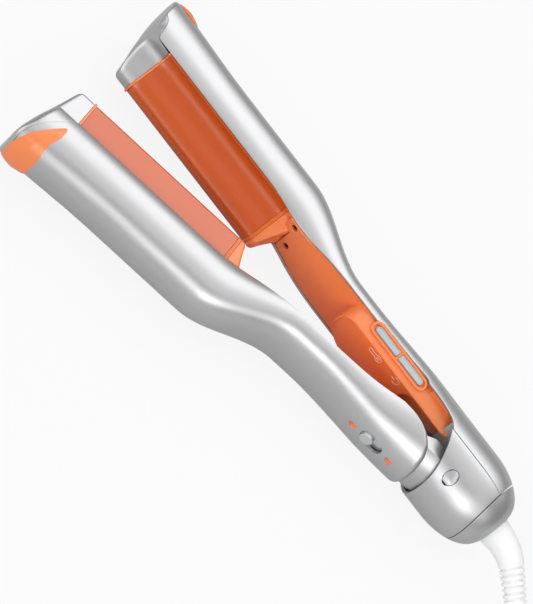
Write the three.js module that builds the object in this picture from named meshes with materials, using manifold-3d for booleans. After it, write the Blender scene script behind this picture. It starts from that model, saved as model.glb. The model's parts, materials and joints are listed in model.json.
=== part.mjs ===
// Hair waver with two hinged arms, modelled open on its side, in millimetres.
// Every piece is drawn in arm coordinates: x runs from the cord exit to the tip, y = 0 is the plane
// in which the two jaws meet when closed, and z = 0 is the middle of the width.
// The front arm is drawn like the base arm, turned half round the long axis and swung open.
import * as THREE from 'three';
import { mergeVertices } from 'three/addons/utils/BufferGeometryUtils.js';
import Module from 'manifold-3d';

const wasm = await Module();
wasm.setup();

// General clearances and walls
const seam = 0.3;
const fit = 0.3;
const wall = 1.4;
const outerPoints = 28;
const innerPoints = 20;

// Tail housing, round about its own axis
const tailRadius = 24.75;
const tailAxisY = 2.6;
const tailRoundLength = 28;
const exitRadius = 9.2;
const capSplitX = 11;
const tailWall = 2.2;
const mouthTopX = 41;
const mouthReach = 13;
const mouthPower = 1.3;

// Handle
const waistX = 125;
const gripX = 75;
const handleRim = 6.15;
const waistHalfWidth = 18.75;
const gripHalfWidth = 19.5;
const waistDepth = 12.6;
const baseGripDepth = 14.9;
const frontGripDepth = 17;
const handlePower = 2.4;
const tailBlendStart = 50;
const tailBlendEnd = 95;
const baseRimStartX = mouthTopX + mouthReach;
const baseRimRunX = 30;

// Jaw
const jawBlendStart = 138;
const jawBlendEnd = 192;
const jawCentreDrop = 20.2;
const jawHalfWidth = 16.5;
const jawDepth = 17.5;
const tipFlare = 1.6;
const tipFlareStart = 250;
const rimBlendStart = 165;
const rimBlendEnd = 208;

// Wave plates
const waveHeight = 9;
const waveHalfRun = 7.6;
const plateHalfWidth = 11.8;
const plateGap = 1.2;
const plateWall = 2;
const plateStart = 192.4;
const plateLength = 95.8;
const plateEnd = plateStart + plateLength;
const plateFoot = 4;
const crestRadius = 2.6;
const bandWidth = 2;
const bandProud = 0.22;
const lipWidth = 1.2;
const lipRise = 0.55;
const lipSide = 0.2;

// Nose of each arm, measured from the end of the plate
const noseLength = 23.3;
const noseCrestReach = 11.3;
const noseDome = 4;
const noseCorner = 5;
const backCornerY = -36.5;
const accentProud = 0.45;
const accentPocket = 0.85;
const accentLength = 20.5;
const accentValleyZ = 11;
const tipX = plateEnd + noseLength;
const noseCrestX = plateEnd + noseCrestReach;

// Root block and inner panels
const panelWall = 2;
const rootCrestX = plateStart - 5.4;
const rootFootX = plateStart - 10.9;

// Hinge
const hingeX = 35.35;
const hingeY = tailAxisY + 15.6;
const openAngle = THREE.MathUtils.degToRad(12);
const pinRadius = 2.2;
const pinHalfLength = 15.6;
const bushRadius = 3.5;
const lugRadius = 4.8;
const lugInner = 3.4;
const lugOuter = 8.8;
const bossRadius = 5.2;
const springRadius = 3.5;
const hingeCapRadius = 3.5;

// Front arm ends
const frontRadius = 23.4;
const frontEndX = 49.5;
const frontRimRunX = 38;
const frontRimRise = 2.2;
const frontRimStartX = 54;
const neckRadius = 20.6;
const neckEndX = 69;

// Console, bezel and buttons
const consoleTop = 1.5;
const consoleStartX = 55.5;
const consoleEndX = 133;
const consoleNoseX = 119;
const facetFootZ = 17.2;
const facetTopZ = 14.2;
const consoleFarTopZ = -11.5;
const consoleFarFootZ = -15;
const consoleWall = 1.8;
const recessEndX = 83;
const recessNearZ = 13;
const recessFarZ = -7.5;
const recessFloor = -4.6;
const recessCorner = 9;
const bezelStartX = 77;
const bezelEndX = 119.5;
const bezelLow = -2.2;
const bezelHigh = 5.5;
const bezelProud = 1.3;
const bezelDepth = 3.4;
const buttonLength = 16.4;
const buttonWidth = 3.4;
const buttonProud = 0.7;
const buttonStem = 3.6;
const buttonTravel = 0.6;
const powerButtonX = 81.3;
const buttonGap = 1.3;
const switchHeight = 3.2;
const boardThickness = 1.6;

// Lock
const lockX = 78.4;
const lockZ = -2.9;
const lockTravel = 6;
const lockButtonRadius = 3.8;
const slotRadius = 4.1;
const lockProud = 1.1;
const hookHalf = 3.4;
const hookReach = 4.4;
const keeperWidth = 2.6;
const keeperGrip = 1.8;

// Cord and strain relief
const reliefLength = 60;
const reliefRootRadius = 8.75;
const reliefEndRadius = 5;
const ribPitch = 3.5;
const ribStart = 23;
const ribDepth = 1.1;
const cordRadius = 3.25;
// The housing lies on the flat of its faceted round side
const floorDrop = tailRadius * Math.cos(Math.PI / outerPoints);
const coilPitch = 7.2;
const coilLayerPitch = 7.2;
const coilTurns = 3;
const coilOuterRadius = 49.5;
const coilCentreX = -140;
const coilLift = 1.5;
const tieThickness = 1;

const material = (color, roughness, metalness = 0) =>
  new THREE.MeshStandardMaterial({ color, roughness, metalness });
const silverPaint = material('#c3c4c7', 0.35, 0.25);
const orangePlastic = material('#e8702f', 0.45);
const darkOrange = material('#d85f1c', 0.45);
const coatedPlate = material('#d4683a', 0.3, 0.1);
const greyButton = material('#aab9be', 0.4);
const whiteRubber = material('#f4f4f4', 0.6);
const steel = material('#b9bcc0', 0.3, 0.9);
const brass = material('#c2a25c', 0.35, 0.9);
const boardGreen = material('#2f6b46', 0.6);
const blackPlastic = material('#26272a', 0.6);
const heaterAlloy = material('#a9a49a', 0.5, 0.7);
const beigeFrame = material('#d8cfb8', 0.7);

const assembly = new THREE.Group();
const baseArm = new THREE.Group();
const frontArm = new THREE.Group();
const cordSide = new THREE.Group();

// Small maths
const mix = (a, b, t) => a + (b - a) * t;

function smooth(from, to, x) {
  const t = Math.min(Math.max((x - from) / (to - from), 0), 1);
  return t * t * (3 - 2 * t);
}

// Height of a broken line of [x, y] points at x
function lineAt(points, x) {
  const next = Math.max(points.findIndex(([px]) => px >= x), 1);
  const [[x0, y0], [x1, y1]] = [points[next - 1], points[next]];
  return mix(y0, y1, (x - x0) / (x1 - x0));
}

// Points from start to end in equal steps, both ends included
function steps(start, end, count) {
  return Array.from({ length: count + 1 }, (unused, i) => mix(start, end, i / count));
}

// Solids
function pointOutwards(geometry) {
  const p = geometry.attributes.position;
  const index = geometry.index.array;
  const a = new THREE.Vector3();
  const b = new THREE.Vector3();
  const c = new THREE.Vector3();
  let volume = 0;
  for (let i = 0; i < index.length; i += 3) {
    a.fromBufferAttribute(p, index[i]);
    b.fromBufferAttribute(p, index[i + 1]);
    c.fromBufferAttribute(p, index[i + 2]);
    volume += a.dot(b.cross(c));
  }
  if (volume < 0) {
    for (let i = 0; i < index.length; i += 3) {
      [index[i + 1], index[i + 2]] = [index[i + 2], index[i + 1]];
    }
  }
  return geometry;
}

function toSolid(geometry) {
  const bare = geometry.clone();
  bare.deleteAttribute('normal');
  bare.deleteAttribute('uv');
  const merged = pointOutwards(mergeVertices(bare, 1e-4));
  return new wasm.Manifold(new wasm.Mesh({
    numProp: 3,
    vertProperties: new Float32Array(merged.attributes.position.array),
    triVerts: new Uint32Array(merged.index.array),
  }));
}

function toGeometry(solid) {
  const mesh = solid.getMesh();
  const geometry = new THREE.BufferGeometry();
  geometry.setAttribute('position', new THREE.Float32BufferAttribute(mesh.vertProperties, 3));
  geometry.setIndex(Array.from(mesh.triVerts));
  geometry.computeVertexNormals();
  return geometry;
}

// A solid skinned over rings of equal count, each ring closed, with flat ends
function loft(rings) {
  const count = rings[0].length;
  const positions = rings.flat().flatMap((v) => [v.x, v.y, v.z]);
  const index = [];
  for (let r = 0; r + 1 < rings.length; r++) {
    for (let k = 0; k < count; k++) {
      const a = r * count + k;
      const b = r * count + (k + 1) % count;
      index.push(a, b, b + count, a, b + count, a + count);
    }
  }
  const last = (rings.length - 1) * count;
  const flat = rings[0].map((v) => new THREE.Vector2(v.z, v.y));
  const ringTurn = Math.sign(THREE.ShapeUtils.area(flat));
  for (const face of THREE.ShapeUtils.triangulateShape(flat, [])) {
    const faceTurn = Math.sign(THREE.ShapeUtils.area(face.map((i) => flat[i])));
    const [a, b, c] = faceTurn === ringTurn ? face : [...face].reverse();
    index.push(a, c, b, last + a, last + b, last + c);
  }
  const geometry = new THREE.BufferGeometry();
  geometry.setAttribute('position', new THREE.Float32BufferAttribute(positions, 3));
  geometry.setIndex(index);
  return toSolid(geometry);
}

// A straight bar along x with a [z, y] outline
function prismAlongX(outline, x0, x1) {
  return loft([x0, x1].map((x) => outline.map(([z, y]) => new THREE.Vector3(x, y, z))));
}

function shapeFrom(points) {
  return new THREE.Shape(points.map(([x, y]) => new THREE.Vector2(x, y)));
}

// A bar across the width with an [x, y] outline
function prismAcross(outline, z0 = -60, z1 = 60) {
  const depth = z1 - z0;
  const geometry = new THREE.ExtrudeGeometry(shapeFrom(outline), { depth, bevelEnabled: false });
  return toSolid(geometry.translate(0, 0, z0));
}

// A bar standing along y with an [x, z] outline
function prismUpright(outline, y0, y1) {
  const depth = y1 - y0;
  const shape = shapeFrom(outline.map(([x, z]) => [x, -z]));
  const geometry = new THREE.ExtrudeGeometry(shape, { depth, bevelEnabled: false });
  return toSolid(geometry.rotateX(-Math.PI / 2).translate(0, y0, 0));
}

function block(x0, x1, y0, y1, z0, z1) {
  const geometry = new THREE.BoxGeometry(x1 - x0, y1 - y0, z1 - z0);
  return toSolid(geometry.translate((x0 + x1) / 2, (y0 + y1) / 2, (z0 + z1) / 2));
}

function rodAcross(x, y, radius, z0, z1, sides = 20) {
  const geometry = new THREE.CylinderGeometry(radius, radius, z1 - z0, sides);
  return toSolid(geometry.rotateX(Math.PI / 2).translate(x, y, (z0 + z1) / 2));
}

function rodUpright(x, z, radius, y0, y1, sides = 20) {
  const geometry = new THREE.CylinderGeometry(radius, radius, y1 - y0, sides);
  return toSolid(geometry.translate(x, (y0 + y1) / 2, z));
}

function rodAlong(y, z, radius, x0, x1, sides = 24) {
  const geometry = new THREE.CylinderGeometry(radius, radius, x1 - x0, sides);
  return toSolid(geometry.rotateZ(Math.PI / 2).translate((x0 + x1) / 2, y, z));
}

// A body turned about the tail axis from [x, radius] points
function turnedAboutTail(profile, sides = 28) {
  const points = profile.map(([x, radius]) => new THREE.Vector2(radius, x));
  const geometry = new THREE.LatheGeometry(points, sides);
  return toSolid(geometry.rotateZ(-Math.PI / 2).translate(0, tailAxisY, 0));
}

function roundBar(x0, x1, y0, y1, radius) {
  const shape = new THREE.Shape();
  const r = Math.min(radius, (y1 - y0) / 2, (x1 - x0) / 2);
  shape.absarc(x1 - r, y1 - r, r, 0, Math.PI / 2);
  shape.absarc(x0 + r, y1 - r, r, Math.PI / 2, Math.PI);
  shape.absarc(x0 + r, y0 + r, r, Math.PI, Math.PI * 1.5);
  shape.absarc(x1 - r, y0 + r, r, Math.PI * 1.5, Math.PI * 2);
  return shape;
}

function slab(shape, z0, z1, curveSegments = 5) {
  const depth = z1 - z0;
  const geometry = new THREE.ExtrudeGeometry(shape, { depth, bevelEnabled: false, curveSegments });
  return toSolid(geometry.translate(0, 0, z0));
}

function place(group, name, solid, finish) {
  const mesh = new THREE.Mesh(toGeometry(solid), finish);
  mesh.name = name;
  group.add(mesh);
}

// Sections of the arms
function tailRadiusAt(x) {
  const t = Math.min(Math.max(1 - x / tailRoundLength, 0), 1);
  return exitRadius + (tailRadius - exitRadius) * Math.sqrt(1 - t * t);
}

const baseSide = { gripDepth: baseGripDepth, tailY: tailAxisY, radiusAt: tailRadiusAt };
const frontSide = { gripDepth: frontGripDepth, tailY: -tailAxisY, radiusAt: () => frontRadius };

function sectionAt(x, side) {
  const jaw = smooth(jawBlendStart, jawBlendEnd, x);
  const tail = 1 - smooth(tailBlendStart, tailBlendEnd, x);
  const grip = 1 - smooth(gripX, waistX, x);
  const flare = tipFlare * smooth(tipFlareStart, tipX, x);
  const centre = mix(-handleRim, -jawCentreDrop - flare / 2, jaw);
  const halfWidth = mix(mix(waistHalfWidth, gripHalfWidth, grip), jawHalfWidth, jaw);
  const depth = mix(mix(waistDepth, side.gripDepth, grip), jawDepth + flare, jaw);
  const radius = side.radiusAt(x);
  return {
    centre: mix(centre, side.tailY, tail),
    halfWidth: mix(halfWidth, radius, tail),
    depth: mix(depth, radius, tail),
    power: mix(handlePower, 2, tail),
  };
}

function ringAt(x, side, inset = 0, scale = 1) {
  const { centre, halfWidth, depth, power } = sectionAt(x, side);
  const round = (value) => Math.sign(value) * Math.abs(value) ** (2 / power);
  const points = inset > 0 ? innerPoints : outerPoints;
  return Array.from({ length: points }, (unused, k) => {
    const angle = (k + 0.5) * 2 * Math.PI / points;
    const z = (halfWidth - inset) * scale * round(Math.cos(angle));
    const y = centre + (depth - inset) * scale * round(Math.sin(angle));
    return new THREE.Vector3(x, y, z);
  });
}

const backAt = (x, side) => sectionAt(x, side).centre - sectionAt(x, side).depth;

const armStations = [
  ...steps(tailBlendStart, tailBlendEnd, 6), 110, waistX,
  ...steps(jawBlendStart, jawBlendEnd, 8), tipFlareStart, 268, 288, tipX + 8,
];
const tailStations = [capSplitX + seam, 15, 20, tailRoundLength];
const frontEndStations = [[0, 0.8], [0.7, 0.89], [1.8, 0.945], [3.5, 0.985], [6, 1]];

function baseBody(inset = 0) {
  const start = inset ? [capSplitX - 2, ...tailStations.slice(1)] : tailStations;
  return loft([...start, ...armStations].map((x) => ringAt(x, baseSide, inset)));
}

function frontBody(inset = 0) {
  const stations = armStations.filter((x) => x > frontEndX + 7);
  if (inset) {
    const start = frontEndX + 3;
    return loft([ringAt(start, frontSide, inset, 0.96), ...[start + 2, ...stations]
      .map((x) => ringAt(x, frontSide, inset))]);
  }
  const end = frontEndStations.map(([x, scale]) => ringAt(frontEndX + x, frontSide, 0, scale));
  return loft([...end, ...stations.map((x) => ringAt(x, frontSide))]);
}

// Height of the shell rim along each arm
function jawRimAt(x) {
  return mix(-handleRim, -(waveHeight + plateGap / 2), smooth(rimBlendStart, rimBlendEnd, x));
}

function rimRise(x, startX, runX, rise) {
  const t = Math.min(Math.max((startX + runX - x) / runX, 0), 1);
  return rise * (1 - Math.sqrt(1 - t * t));
}

const baseRimAt = (x) =>
  jawRimAt(x) + rimRise(x, baseRimStartX, baseRimRunX, handleRim + tailAxisY - seam / 2);
const frontRimAt = (x) => jawRimAt(x) + rimRise(x, frontRimStartX, frontRimRunX, frontRimRise);

const rimStations = [...steps(54, 60, 4), ...steps(63, 92, 7), waistX,
  ...steps(rimBlendStart, rimBlendEnd, 6), 250];

// The rim along the nose, as shares of its length: it dives on the crest side and drops late on
// the valley side
const noseStartX = plateEnd + lipWidth + seam;
const crestSideRim = [[-0.2, -9.6], [0, -9.6], [0.21, -13.6], [0.37, -18], [0.65, -26.6],
  [0.83, -33.4], [0.92, -37.5], [1.06, -42], [1.3, -42]];
const valleySideRim = [[-0.2, -9.6], [0, -9.6], [0.25, -10.4], [0.41, -10.8], [0.53, -15.5],
  [0.64, -19.7], [0.86, -21], [1.3, -21.4]];
const noseShares = [-0.1, 0, 0.21, 0.25, 0.37, 0.41, 0.53, 0.65, 0.83, 0.92, 1.06, 1.2];

function aboveRim(rimAt, drop = 0) {
  const ring = (x, half, far, near) => [[-half, far], [half, near], [half, 60], [-half, 60]]
    .map(([z, y]) => new THREE.Vector3(x, y < 60 ? y - drop : y, z));
  const handle = [-20, ...rimStations, noseStartX].map((x) => {
    const y = rimAt(Math.max(x, rimStations[0]));
    return ring(x, 60, y, y);
  });
  const nose = noseShares.map((share) => ring(mix(noseStartX, tipX, share), jawHalfWidth + 0.5,
    lineAt(crestSideRim, share), lineAt(valleySideRim, share)));
  return loft(handle).add(loft(nose));
}

// Side view of the nose end, from crest to back corner, pulled in by an inset
function noseEnd(inset = 0) {
  const back = -46;
  const slope = [[0.18, 4], [0.45, -8], [0.74, -21], [0.89, -30]].map(([share, y]) =>
    [mix(noseCrestX, tipX, share) - inset, y]);
  const arc = [0, 1, 2, 3, 4].map((i) => {
    const angle = i * Math.PI / 8;
    return [tipX - inset - noseCorner + noseCorner * Math.cos(angle),
      backCornerY - noseCorner * Math.sin(angle)];
  });
  return prismAcross([
    [-20, 60], [noseCrestX - inset, 60], [noseCrestX - inset, waveHeight],
    ...slope, ...arc, [tipX - noseCorner - 6, back], [-20, back],
  ]);
}

// Plan view of the nose end, a shallow dome across the width; the wide tail stays whole
function noseDomePlan(inset = 0) {
  const half = jawHalfWidth + 3;
  const crest = tipX + 1 - inset;
  const dome = steps(-half, half, 12).map((z) => [crest - noseDome * (z / jawHalfWidth) ** 2, z]);
  const [farSide, nearSide] = [-1, 1].map((side) => [
    [-20, side * 2 * tailRadius], [plateStart, side * 2 * tailRadius], [plateStart, side * half]]);
  return prismUpright([...farSide, ...dome, ...nearSide.reverse()], -70, 70);
}

const noseForm = noseEnd().intersect(noseDomePlan());

// Wave outline of the jaw
function waveAt(z) {
  const t = Math.min(Math.max(z / waveHalfRun, -1), 1);
  return -waveHeight * Math.sin(t * Math.PI / 2) - plateGap / 2;
}

function waveSlope(z) {
  return (waveAt(z + 0.01) - waveAt(z - 0.01)) / 0.02;
}

// Points over the wave from the valley side to the crest side
function waveTop(proud = 0, side = 0, rise = () => 0) {
  const half = plateHalfWidth + side;
  const flat = steps(half, waveHalfRun, 1).map((z) => [z, waveAt(z) + proud + rise(z)]);
  const bend = steps(waveHalfRun, -waveHalfRun, 12).slice(1);
  const curve = bend.map((z) => [z, waveAt(z) + proud + rise(z)]);
  const top = waveAt(-half) + proud + rise(-half);
  const arc = [0, 1, 2, 3, 4].map((i) => {
    const angle = Math.PI / 2 + i * Math.PI / 8;
    const z = -half + crestRadius + crestRadius * Math.cos(angle);
    return [z, top - crestRadius + crestRadius * Math.sin(angle)];
  });
  return [...flat, ...curve, ...arc];
}

function waveBar(foot, proud = 0, side = 0, rise = undefined) {
  const half = plateHalfWidth + side;
  return [[half, foot], ...waveTop(proud, side, rise), [-half, foot]];
}

const plateFootY = -(waveHeight + plateGap / 2) - plateFoot;

function platePiece() {
  const half = plateHalfWidth - plateWall;
  const under = steps(-half, half, 14).map((z) => {
    const drop = plateWall * Math.sqrt(1 + waveSlope(z) ** 2);
    return [z, Math.min(waveAt(z), waveHeight) - drop];
  });
  const outline = [...waveBar(plateFootY), [-half, plateFootY], ...under, [half, plateFootY]];
  return prismAlongX(outline, plateStart, plateEnd);
}

const crestWeight = (z) => smooth(waveHalfRun, -waveHalfRun, z);

function bandPiece() {
  const end = plateStart - seam / 2;
  return prismAlongX(waveBar(plateFootY, bandProud, bandProud), end - bandWidth, end);
}

function lipPiece() {
  const start = plateEnd + seam / 2;
  const outline = waveBar(plateFootY, 0.1, lipSide, (z) => lipRise * crestWeight(z));
  return prismAlongX(outline, start, start + lipWidth);
}

const rootBlockEnd = plateStart - bandWidth - seam;
const panelScrewRadius = 1.6;

// Beside the block's low side a tab of the inner panel reaches on for its second screw
const tabEndX = rootFootX + 4.8;
const tabZ = 4;
const panelScrewHoles = [[tabEndX - 5, 9.2], [rootFootX - 4.5, -5]];

function drilled(solid) {
  return panelScrewHoles.reduce((rest, [x, z]) =>
    rest.subtract(rodUpright(x, z, panelScrewRadius + fit, -30, 10, 16)), solid);
}

function rootBlockPiece(body, rimAt) {
  const slant = prismAcross([[rootFootX, -16], [rootFootX, rimAt(rootFootX)],
    [rootCrestX, waveHeight], [rootCrestX + 0.6, waveHeight + 5], [rootBlockEnd, waveHeight + 5],
    [rootBlockEnd, -16]]);
  const wave = prismAlongX(waveBar(-15), rootFootX, rootBlockEnd).intersect(slant);
  const step = prismAcross([[rootFootX, -15], [rootBlockEnd, -15],
    [rootBlockEnd, -(waveHeight + plateGap / 2)], [rootFootX, rimAt(rootFootX) - seam]]);
  const tabSeat = block(rootFootX - 1, tabEndX + seam, rimAt(tabEndX) - panelWall - 2 * seam, 20,
    tabZ - seam, 40);
  const room = body(wall + fit).add(aboveRim(rimAt, -fit));
  return drilled(wave.add(step).subtract(tabSeat)).intersect(room);
}

// A flat cover inside the rim, from its start to the root block
function panelPiece(body, rimAt, start) {
  const top = (x) => Math.min(rimAt(x), -handleRim) - seam;
  const strip = (xs, z0, z1) => prismAcross([...xs.map((x) => [x, top(x)]),
    ...[...xs].reverse().map((x) => [x, top(x) - panelWall])], z0, z1);
  const main = strip([start, waistX, ...steps(rimBlendStart, rootFootX - seam, 3)], -60, 60);
  const tab = strip([rimBlendStart, rootFootX - seam, tabEndX], tabZ, 60);
  return main.add(tab).intersect(body(wall + fit));
}

// Side view of the accent: a leaf that runs from the crest side round the back of the nose
function accentForm(inset = 0) {
  const upper = [[1.1, -18.6], [4.3, -23.3], [9.4, -29.4], [13.6, -35.1], [15.9, -38.7],
    [16.7, -46]];
  const root = [[1.6, -46], [1.6, -38.6], [2.6, -34.5], [2.6, -31.7], [0.6, -24.8], [0, -20.4]];
  const first = tipX - accentLength + 1.3;
  const [[startX, startY], ...edge] = upper;
  const tip = [[first + startX, startY - 1.5 * inset],
    ...edge.map(([x, y]) => [first + x - inset, y - inset])];
  const foot = root.map(([x, y]) => [first + x + inset, y]);
  return prismAcross([...tip, ...foot], -40, accentValleyZ - inset);
}

const silverJaw = (body) => body().intersect(noseForm);

function armShell(body, rimAt) {
  const hollow = body(wall).intersect(noseEnd(wall)).intersect(noseDomePlan(wall));
  const pocket = accentForm().intersect(noseSkin(accentPocket));
  const seatHalf = plateHalfWidth + bandProud + fit / 2;
  const bandEnd = plateStart - bandWidth - fit;
  const seat = block(bandEnd, rimBlendEnd + 2, plateFootY - fit, 0, -seatHalf, seatHalf);
  return silverJaw(body).subtract(hollow).subtract(aboveRim(rimAt)).subtract(pocket)
    .subtract(seat);
}

// The outer skin of the nose, in which the heat-resistant accent sits
function noseSkin(depth) {
  const x0 = tipX - accentLength - 4;
  const core = loft([x0 - 1, x0 + 6, tipX + 8].map((x) => ringAt(x, baseSide, depth)));
  const inner = core.intersect(noseEnd(depth)).intersect(noseDomePlan(depth));
  return block(x0, tipX + 8, -60, 20, -40, 40).subtract(inner);
}

function accentPiece(rimAt) {
  const swollen = loft([tipX - accentLength - 6, tipX - 8, tipX + 8]
    .map((x) => ringAt(x, baseSide, -accentProud)));
  const form = swollen.intersect(noseEnd(-accentProud)).intersect(noseDomePlan(-accentProud));
  const thin = noseSkin(accentPocket - seam).intersect(form);
  return thin.intersect(accentForm(seam)).subtract(aboveRim(rimAt, 0.6));
}

function endCapPiece(body, rimAt) {
  const wave = prismAlongX(waveBar(-14), noseStartX, tipX + 4);
  const skirt = body().intersect(block(noseStartX, tipX + 4, -50, -9.6, -40, 40));
  return wave.add(skirt).intersect(noseForm).intersect(aboveRim(rimAt, -seam));
}

const backFloor = -(jawCentreDrop + jawDepth - wall - fit);

function heaterPiece() {
  const top = waveAt(plateHalfWidth) - plateWall - fit;
  return block(plateStart + 6, plateEnd - 6, top - 4, top, -9.4, 9.8);
}

function fusePiece() {
  const top = waveAt(plateHalfWidth) - plateWall - fit - 4 - fit;
  const middle = mix(plateStart, plateEnd, 0.45);
  return rodAlong(top - 2, 4, 2, middle - 7, middle + 7, 12);
}

function carrierPiece() {
  const top = waveAt(plateHalfWidth) - plateWall - fit - 4 - fit;
  const foot = plateFootY - fit;
  const half = plateHalfWidth;
  const outline = [[half, foot], [half - 1.8, foot], [half - 1.8, top - 4.6],
    [-half + 1.8, top - 4.6], [-half + 1.8, foot], [-half, foot], [-half, top - 6.6],
    [-6, top - 6.6], [-6, backFloor + 1], [-4.2, backFloor + 0.4], [4.2, backFloor + 0.4],
    [6, backFloor + 1], [6, top - 6.6], [half, top - 6.6]];
  const bar = prismAlongX(outline, plateStart + 4, plateEnd - 4);
  const rests = [0.22, 0.78].map((share) => mix(plateStart, plateEnd, share))
    .map((x) => block(x - 3, x + 3, top - 4.8, top, -8, 8));
  return bar.add(rests[0]).add(rests[1]);
}

// Tubes
function ringShape(radius, sides) {
  return new THREE.Shape(steps(0, 2 * Math.PI, sides).slice(0, sides)
    .map((a) => new THREE.Vector2(radius * Math.cos(a), radius * Math.sin(a))));
}

function tube(path, radius, count, sides) {
  const options = { steps: count, extrudePath: path, bevelEnabled: false };
  return toSolid(new THREE.ExtrudeGeometry(ringShape(radius, sides), options));
}

const curveThrough = (points) =>
  new THREE.CatmullRomCurve3(points.map(([x, y, z]) => new THREE.Vector3(x, y, z)), false,
    'centripetal');

// Base arm
// The facet beside the console top carries the bezel and its buttons
const facetAngle = Math.atan2(facetFootZ - facetTopZ, consoleTop + handleRim);
const facetGroup = new THREE.Group();
facetGroup.position.set(0, -handleRim, facetFootZ);
facetGroup.rotation.x = -facetAngle;
facetGroup.updateMatrix();

const onFacet = (solid) => solid.transform(facetGroup.matrix.toArray());

const bezelShape = (grow) => roundBar(bezelStartX - grow, bezelEndX + grow, bezelLow - grow,
  bezelHigh + grow, 3.4 + grow);
const buttonLow = (bezelLow + bezelHigh - buttonWidth) / 2;
const buttonShape = (x, grow) => roundBar(x - grow, x + buttonLength + grow, buttonLow - grow,
  buttonLow + buttonWidth + grow, 0.9 + grow);
const tempButtonX = powerButtonX + buttonLength + buttonGap;
const buttonStarts = [powerButtonX, tempButtonX];

function bezelPiece() {
  let solid = slab(bezelShape(0), -bezelDepth, bezelProud);
  for (const x of buttonStarts) {
    solid = solid.subtract(slab(buttonShape(x, fit), -bezelDepth - 1, bezelProud + 1));
  }
  return solid;
}

function buttonPiece(x) {
  const flange = -bezelDepth - fit;
  const cap = slab(buttonShape(x, 0), flange - 1, bezelProud + buttonProud);
  const rim = slab(buttonShape(x, 0.45), flange - 1, flange);
  const stem = block(x + 6.7, x + 9.7, buttonLow + 0.4, buttonLow + 3, flange - buttonStem,
    flange - 1);
  return cap.add(rim).add(stem);
}

const switchTop = -bezelDepth - fit - buttonStem - buttonTravel - 0.1;

function switchPiece(x) {
  return block(x + 5.2, x + 11.2, buttonLow - 1, buttonLow + 4.4, switchTop - switchHeight,
    switchTop);
}

function switchBoardPiece() {
  const top = switchTop - switchHeight - 0.05;
  return block(powerButtonX + 4.5, tempButtonX + buttonLength, buttonLow - 4.6, buttonLow + 5,
    top - boardThickness, top);
}

function consoleProfile(inset = 0) {
  const top = consoleTop - inset;
  const foot = -handleRim - seam - (inset ? 6 : 0);
  const lean = Math.tan(facetAngle);
  const footZ = facetFootZ - inset * 1.1 + (inset ? 6 * lean : 0);
  return [[footZ, foot], [facetTopZ - inset * 0.9, top], [consoleFarTopZ + inset, top],
    [consoleFarFootZ + inset, foot]];
}

// The console is a cover, rounded at its nose and drawn to a point at its tail, with a recess
// into which the lock's hook swings
function consolePiece() {
  const middleZ = (facetTopZ + consoleFarTopZ) / 2 + 0.6;
  const nose = steps(-Math.PI / 2, Math.PI / 2, 10).map((a) => [
    consoleNoseX + (consoleEndX - consoleNoseX) * Math.cos(a), middleZ + 16.6 * Math.sin(a)]);
  const plan = prismUpright([[consoleStartX, 2], [consoleStartX + 26, -16], ...nose,
    [consoleStartX + 20, 19], [consoleStartX, 19]], -30, 30);
  const outer = prismAlongX(consoleProfile(), consoleStartX, consoleEndX).intersect(plan);
  const hollowPlan = block(consoleStartX + 30, consoleEndX - 10, -20, 20, -30, 30);
  const hollow = prismAlongX(consoleProfile(consoleWall), consoleStartX, consoleEndX)
    .intersect(hollowPlan);
  const recess = slab(roundBar(consoleStartX - 30, recessEndX, -recessNearZ, -recessFarZ,
    recessCorner), recessFloor, 20, 8).rotate([-90, 0, 0]);
  return outer.subtract(hollow).subtract(recess).subtract(onFacet(slab(bezelShape(fit), -9, 9)))
    .intersect(baseBody(wall + fit));
}

// A steel bracket in the recess, under whose bar the hook slides
function keeperPiece() {
  const start = lockX - lockTravel - hookReach - keeperWidth + keeperGrip;
  const end = start + keeperWidth;
  const hookFar = -lockZ - hookHalf;
  const post = block(start, end, recessFloor + seam, 1.3, hookFar - 2.4, hookFar - 0.8);
  return block(start, end, 0.1, 1.3, hookFar - 2.4, -lockZ + hookHalf - 2).add(post);
}

function baseShellPiece() {
  const notch = onFacet(slab(bezelShape(fit), -6, 9));
  const seat = block(-20, baseRimStartX, tailAxisY - seam / 2, 60, -60, 60);
  return armShell(baseBody, baseRimAt).subtract(notch).subtract(seat);
}

function basePanelPiece() {
  const opening = block(bezelStartX - 3, bezelEndX + 2, -20, 20, -6, 30);
  const posts = [[92, -10], [126, -10]].map(([x, z]) =>
    rodUpright(x, z, 1.8, -12.2, -handleRim - seam - 1, 12));
  let solid = panelPiece(baseBody, baseRimAt, 60).subtract(opening);
  for (const post of posts) {
    solid = solid.add(post);
  }
  return drilled(solid);
}

function panelScrewPiece([x, z]) {
  return rodUpright(x, z, panelScrewRadius, -16.4, jawRimAt(x) - seam - 1.2, 16)
    .subtract(block(x - 1.2, x + 1.2, jawRimAt(x) - 2.1, 0, z - 0.25, z + 0.25));
}

function circuitBoardPiece() {
  return block(recessEndX + 1, consoleEndX + 1, -12.2 - fit - boardThickness, -12.2 - fit, -12.8, 2.4);
}

// Tail housing
function mouthCut(inset = 0) {
  const ys = steps(tailAxisY, tailAxisY + tailRadius + 2, 14);
  const curve = ys.map((y) => {
    const share = Math.max(1 - (y - tailAxisY) / tailRadius, 0);
    return [mouthTopX - inset + mouthReach * share ** mouthPower, y];
  });
  return prismAcross([[90, tailAxisY - 5], [curve[0][0], tailAxisY - 5], ...curve, [90, 40]]);
}

function tailRing(x, inset) {
  const radius = tailRadiusAt(x) - inset;
  const points = inset > 0 ? innerPoints : outerPoints;
  return Array.from({ length: points }, (unused, k) => {
    const angle = (k + 0.5) * 2 * Math.PI / points;
    return new THREE.Vector3(x, tailAxisY + radius * Math.sin(angle), radius * Math.cos(angle));
  });
}

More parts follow.
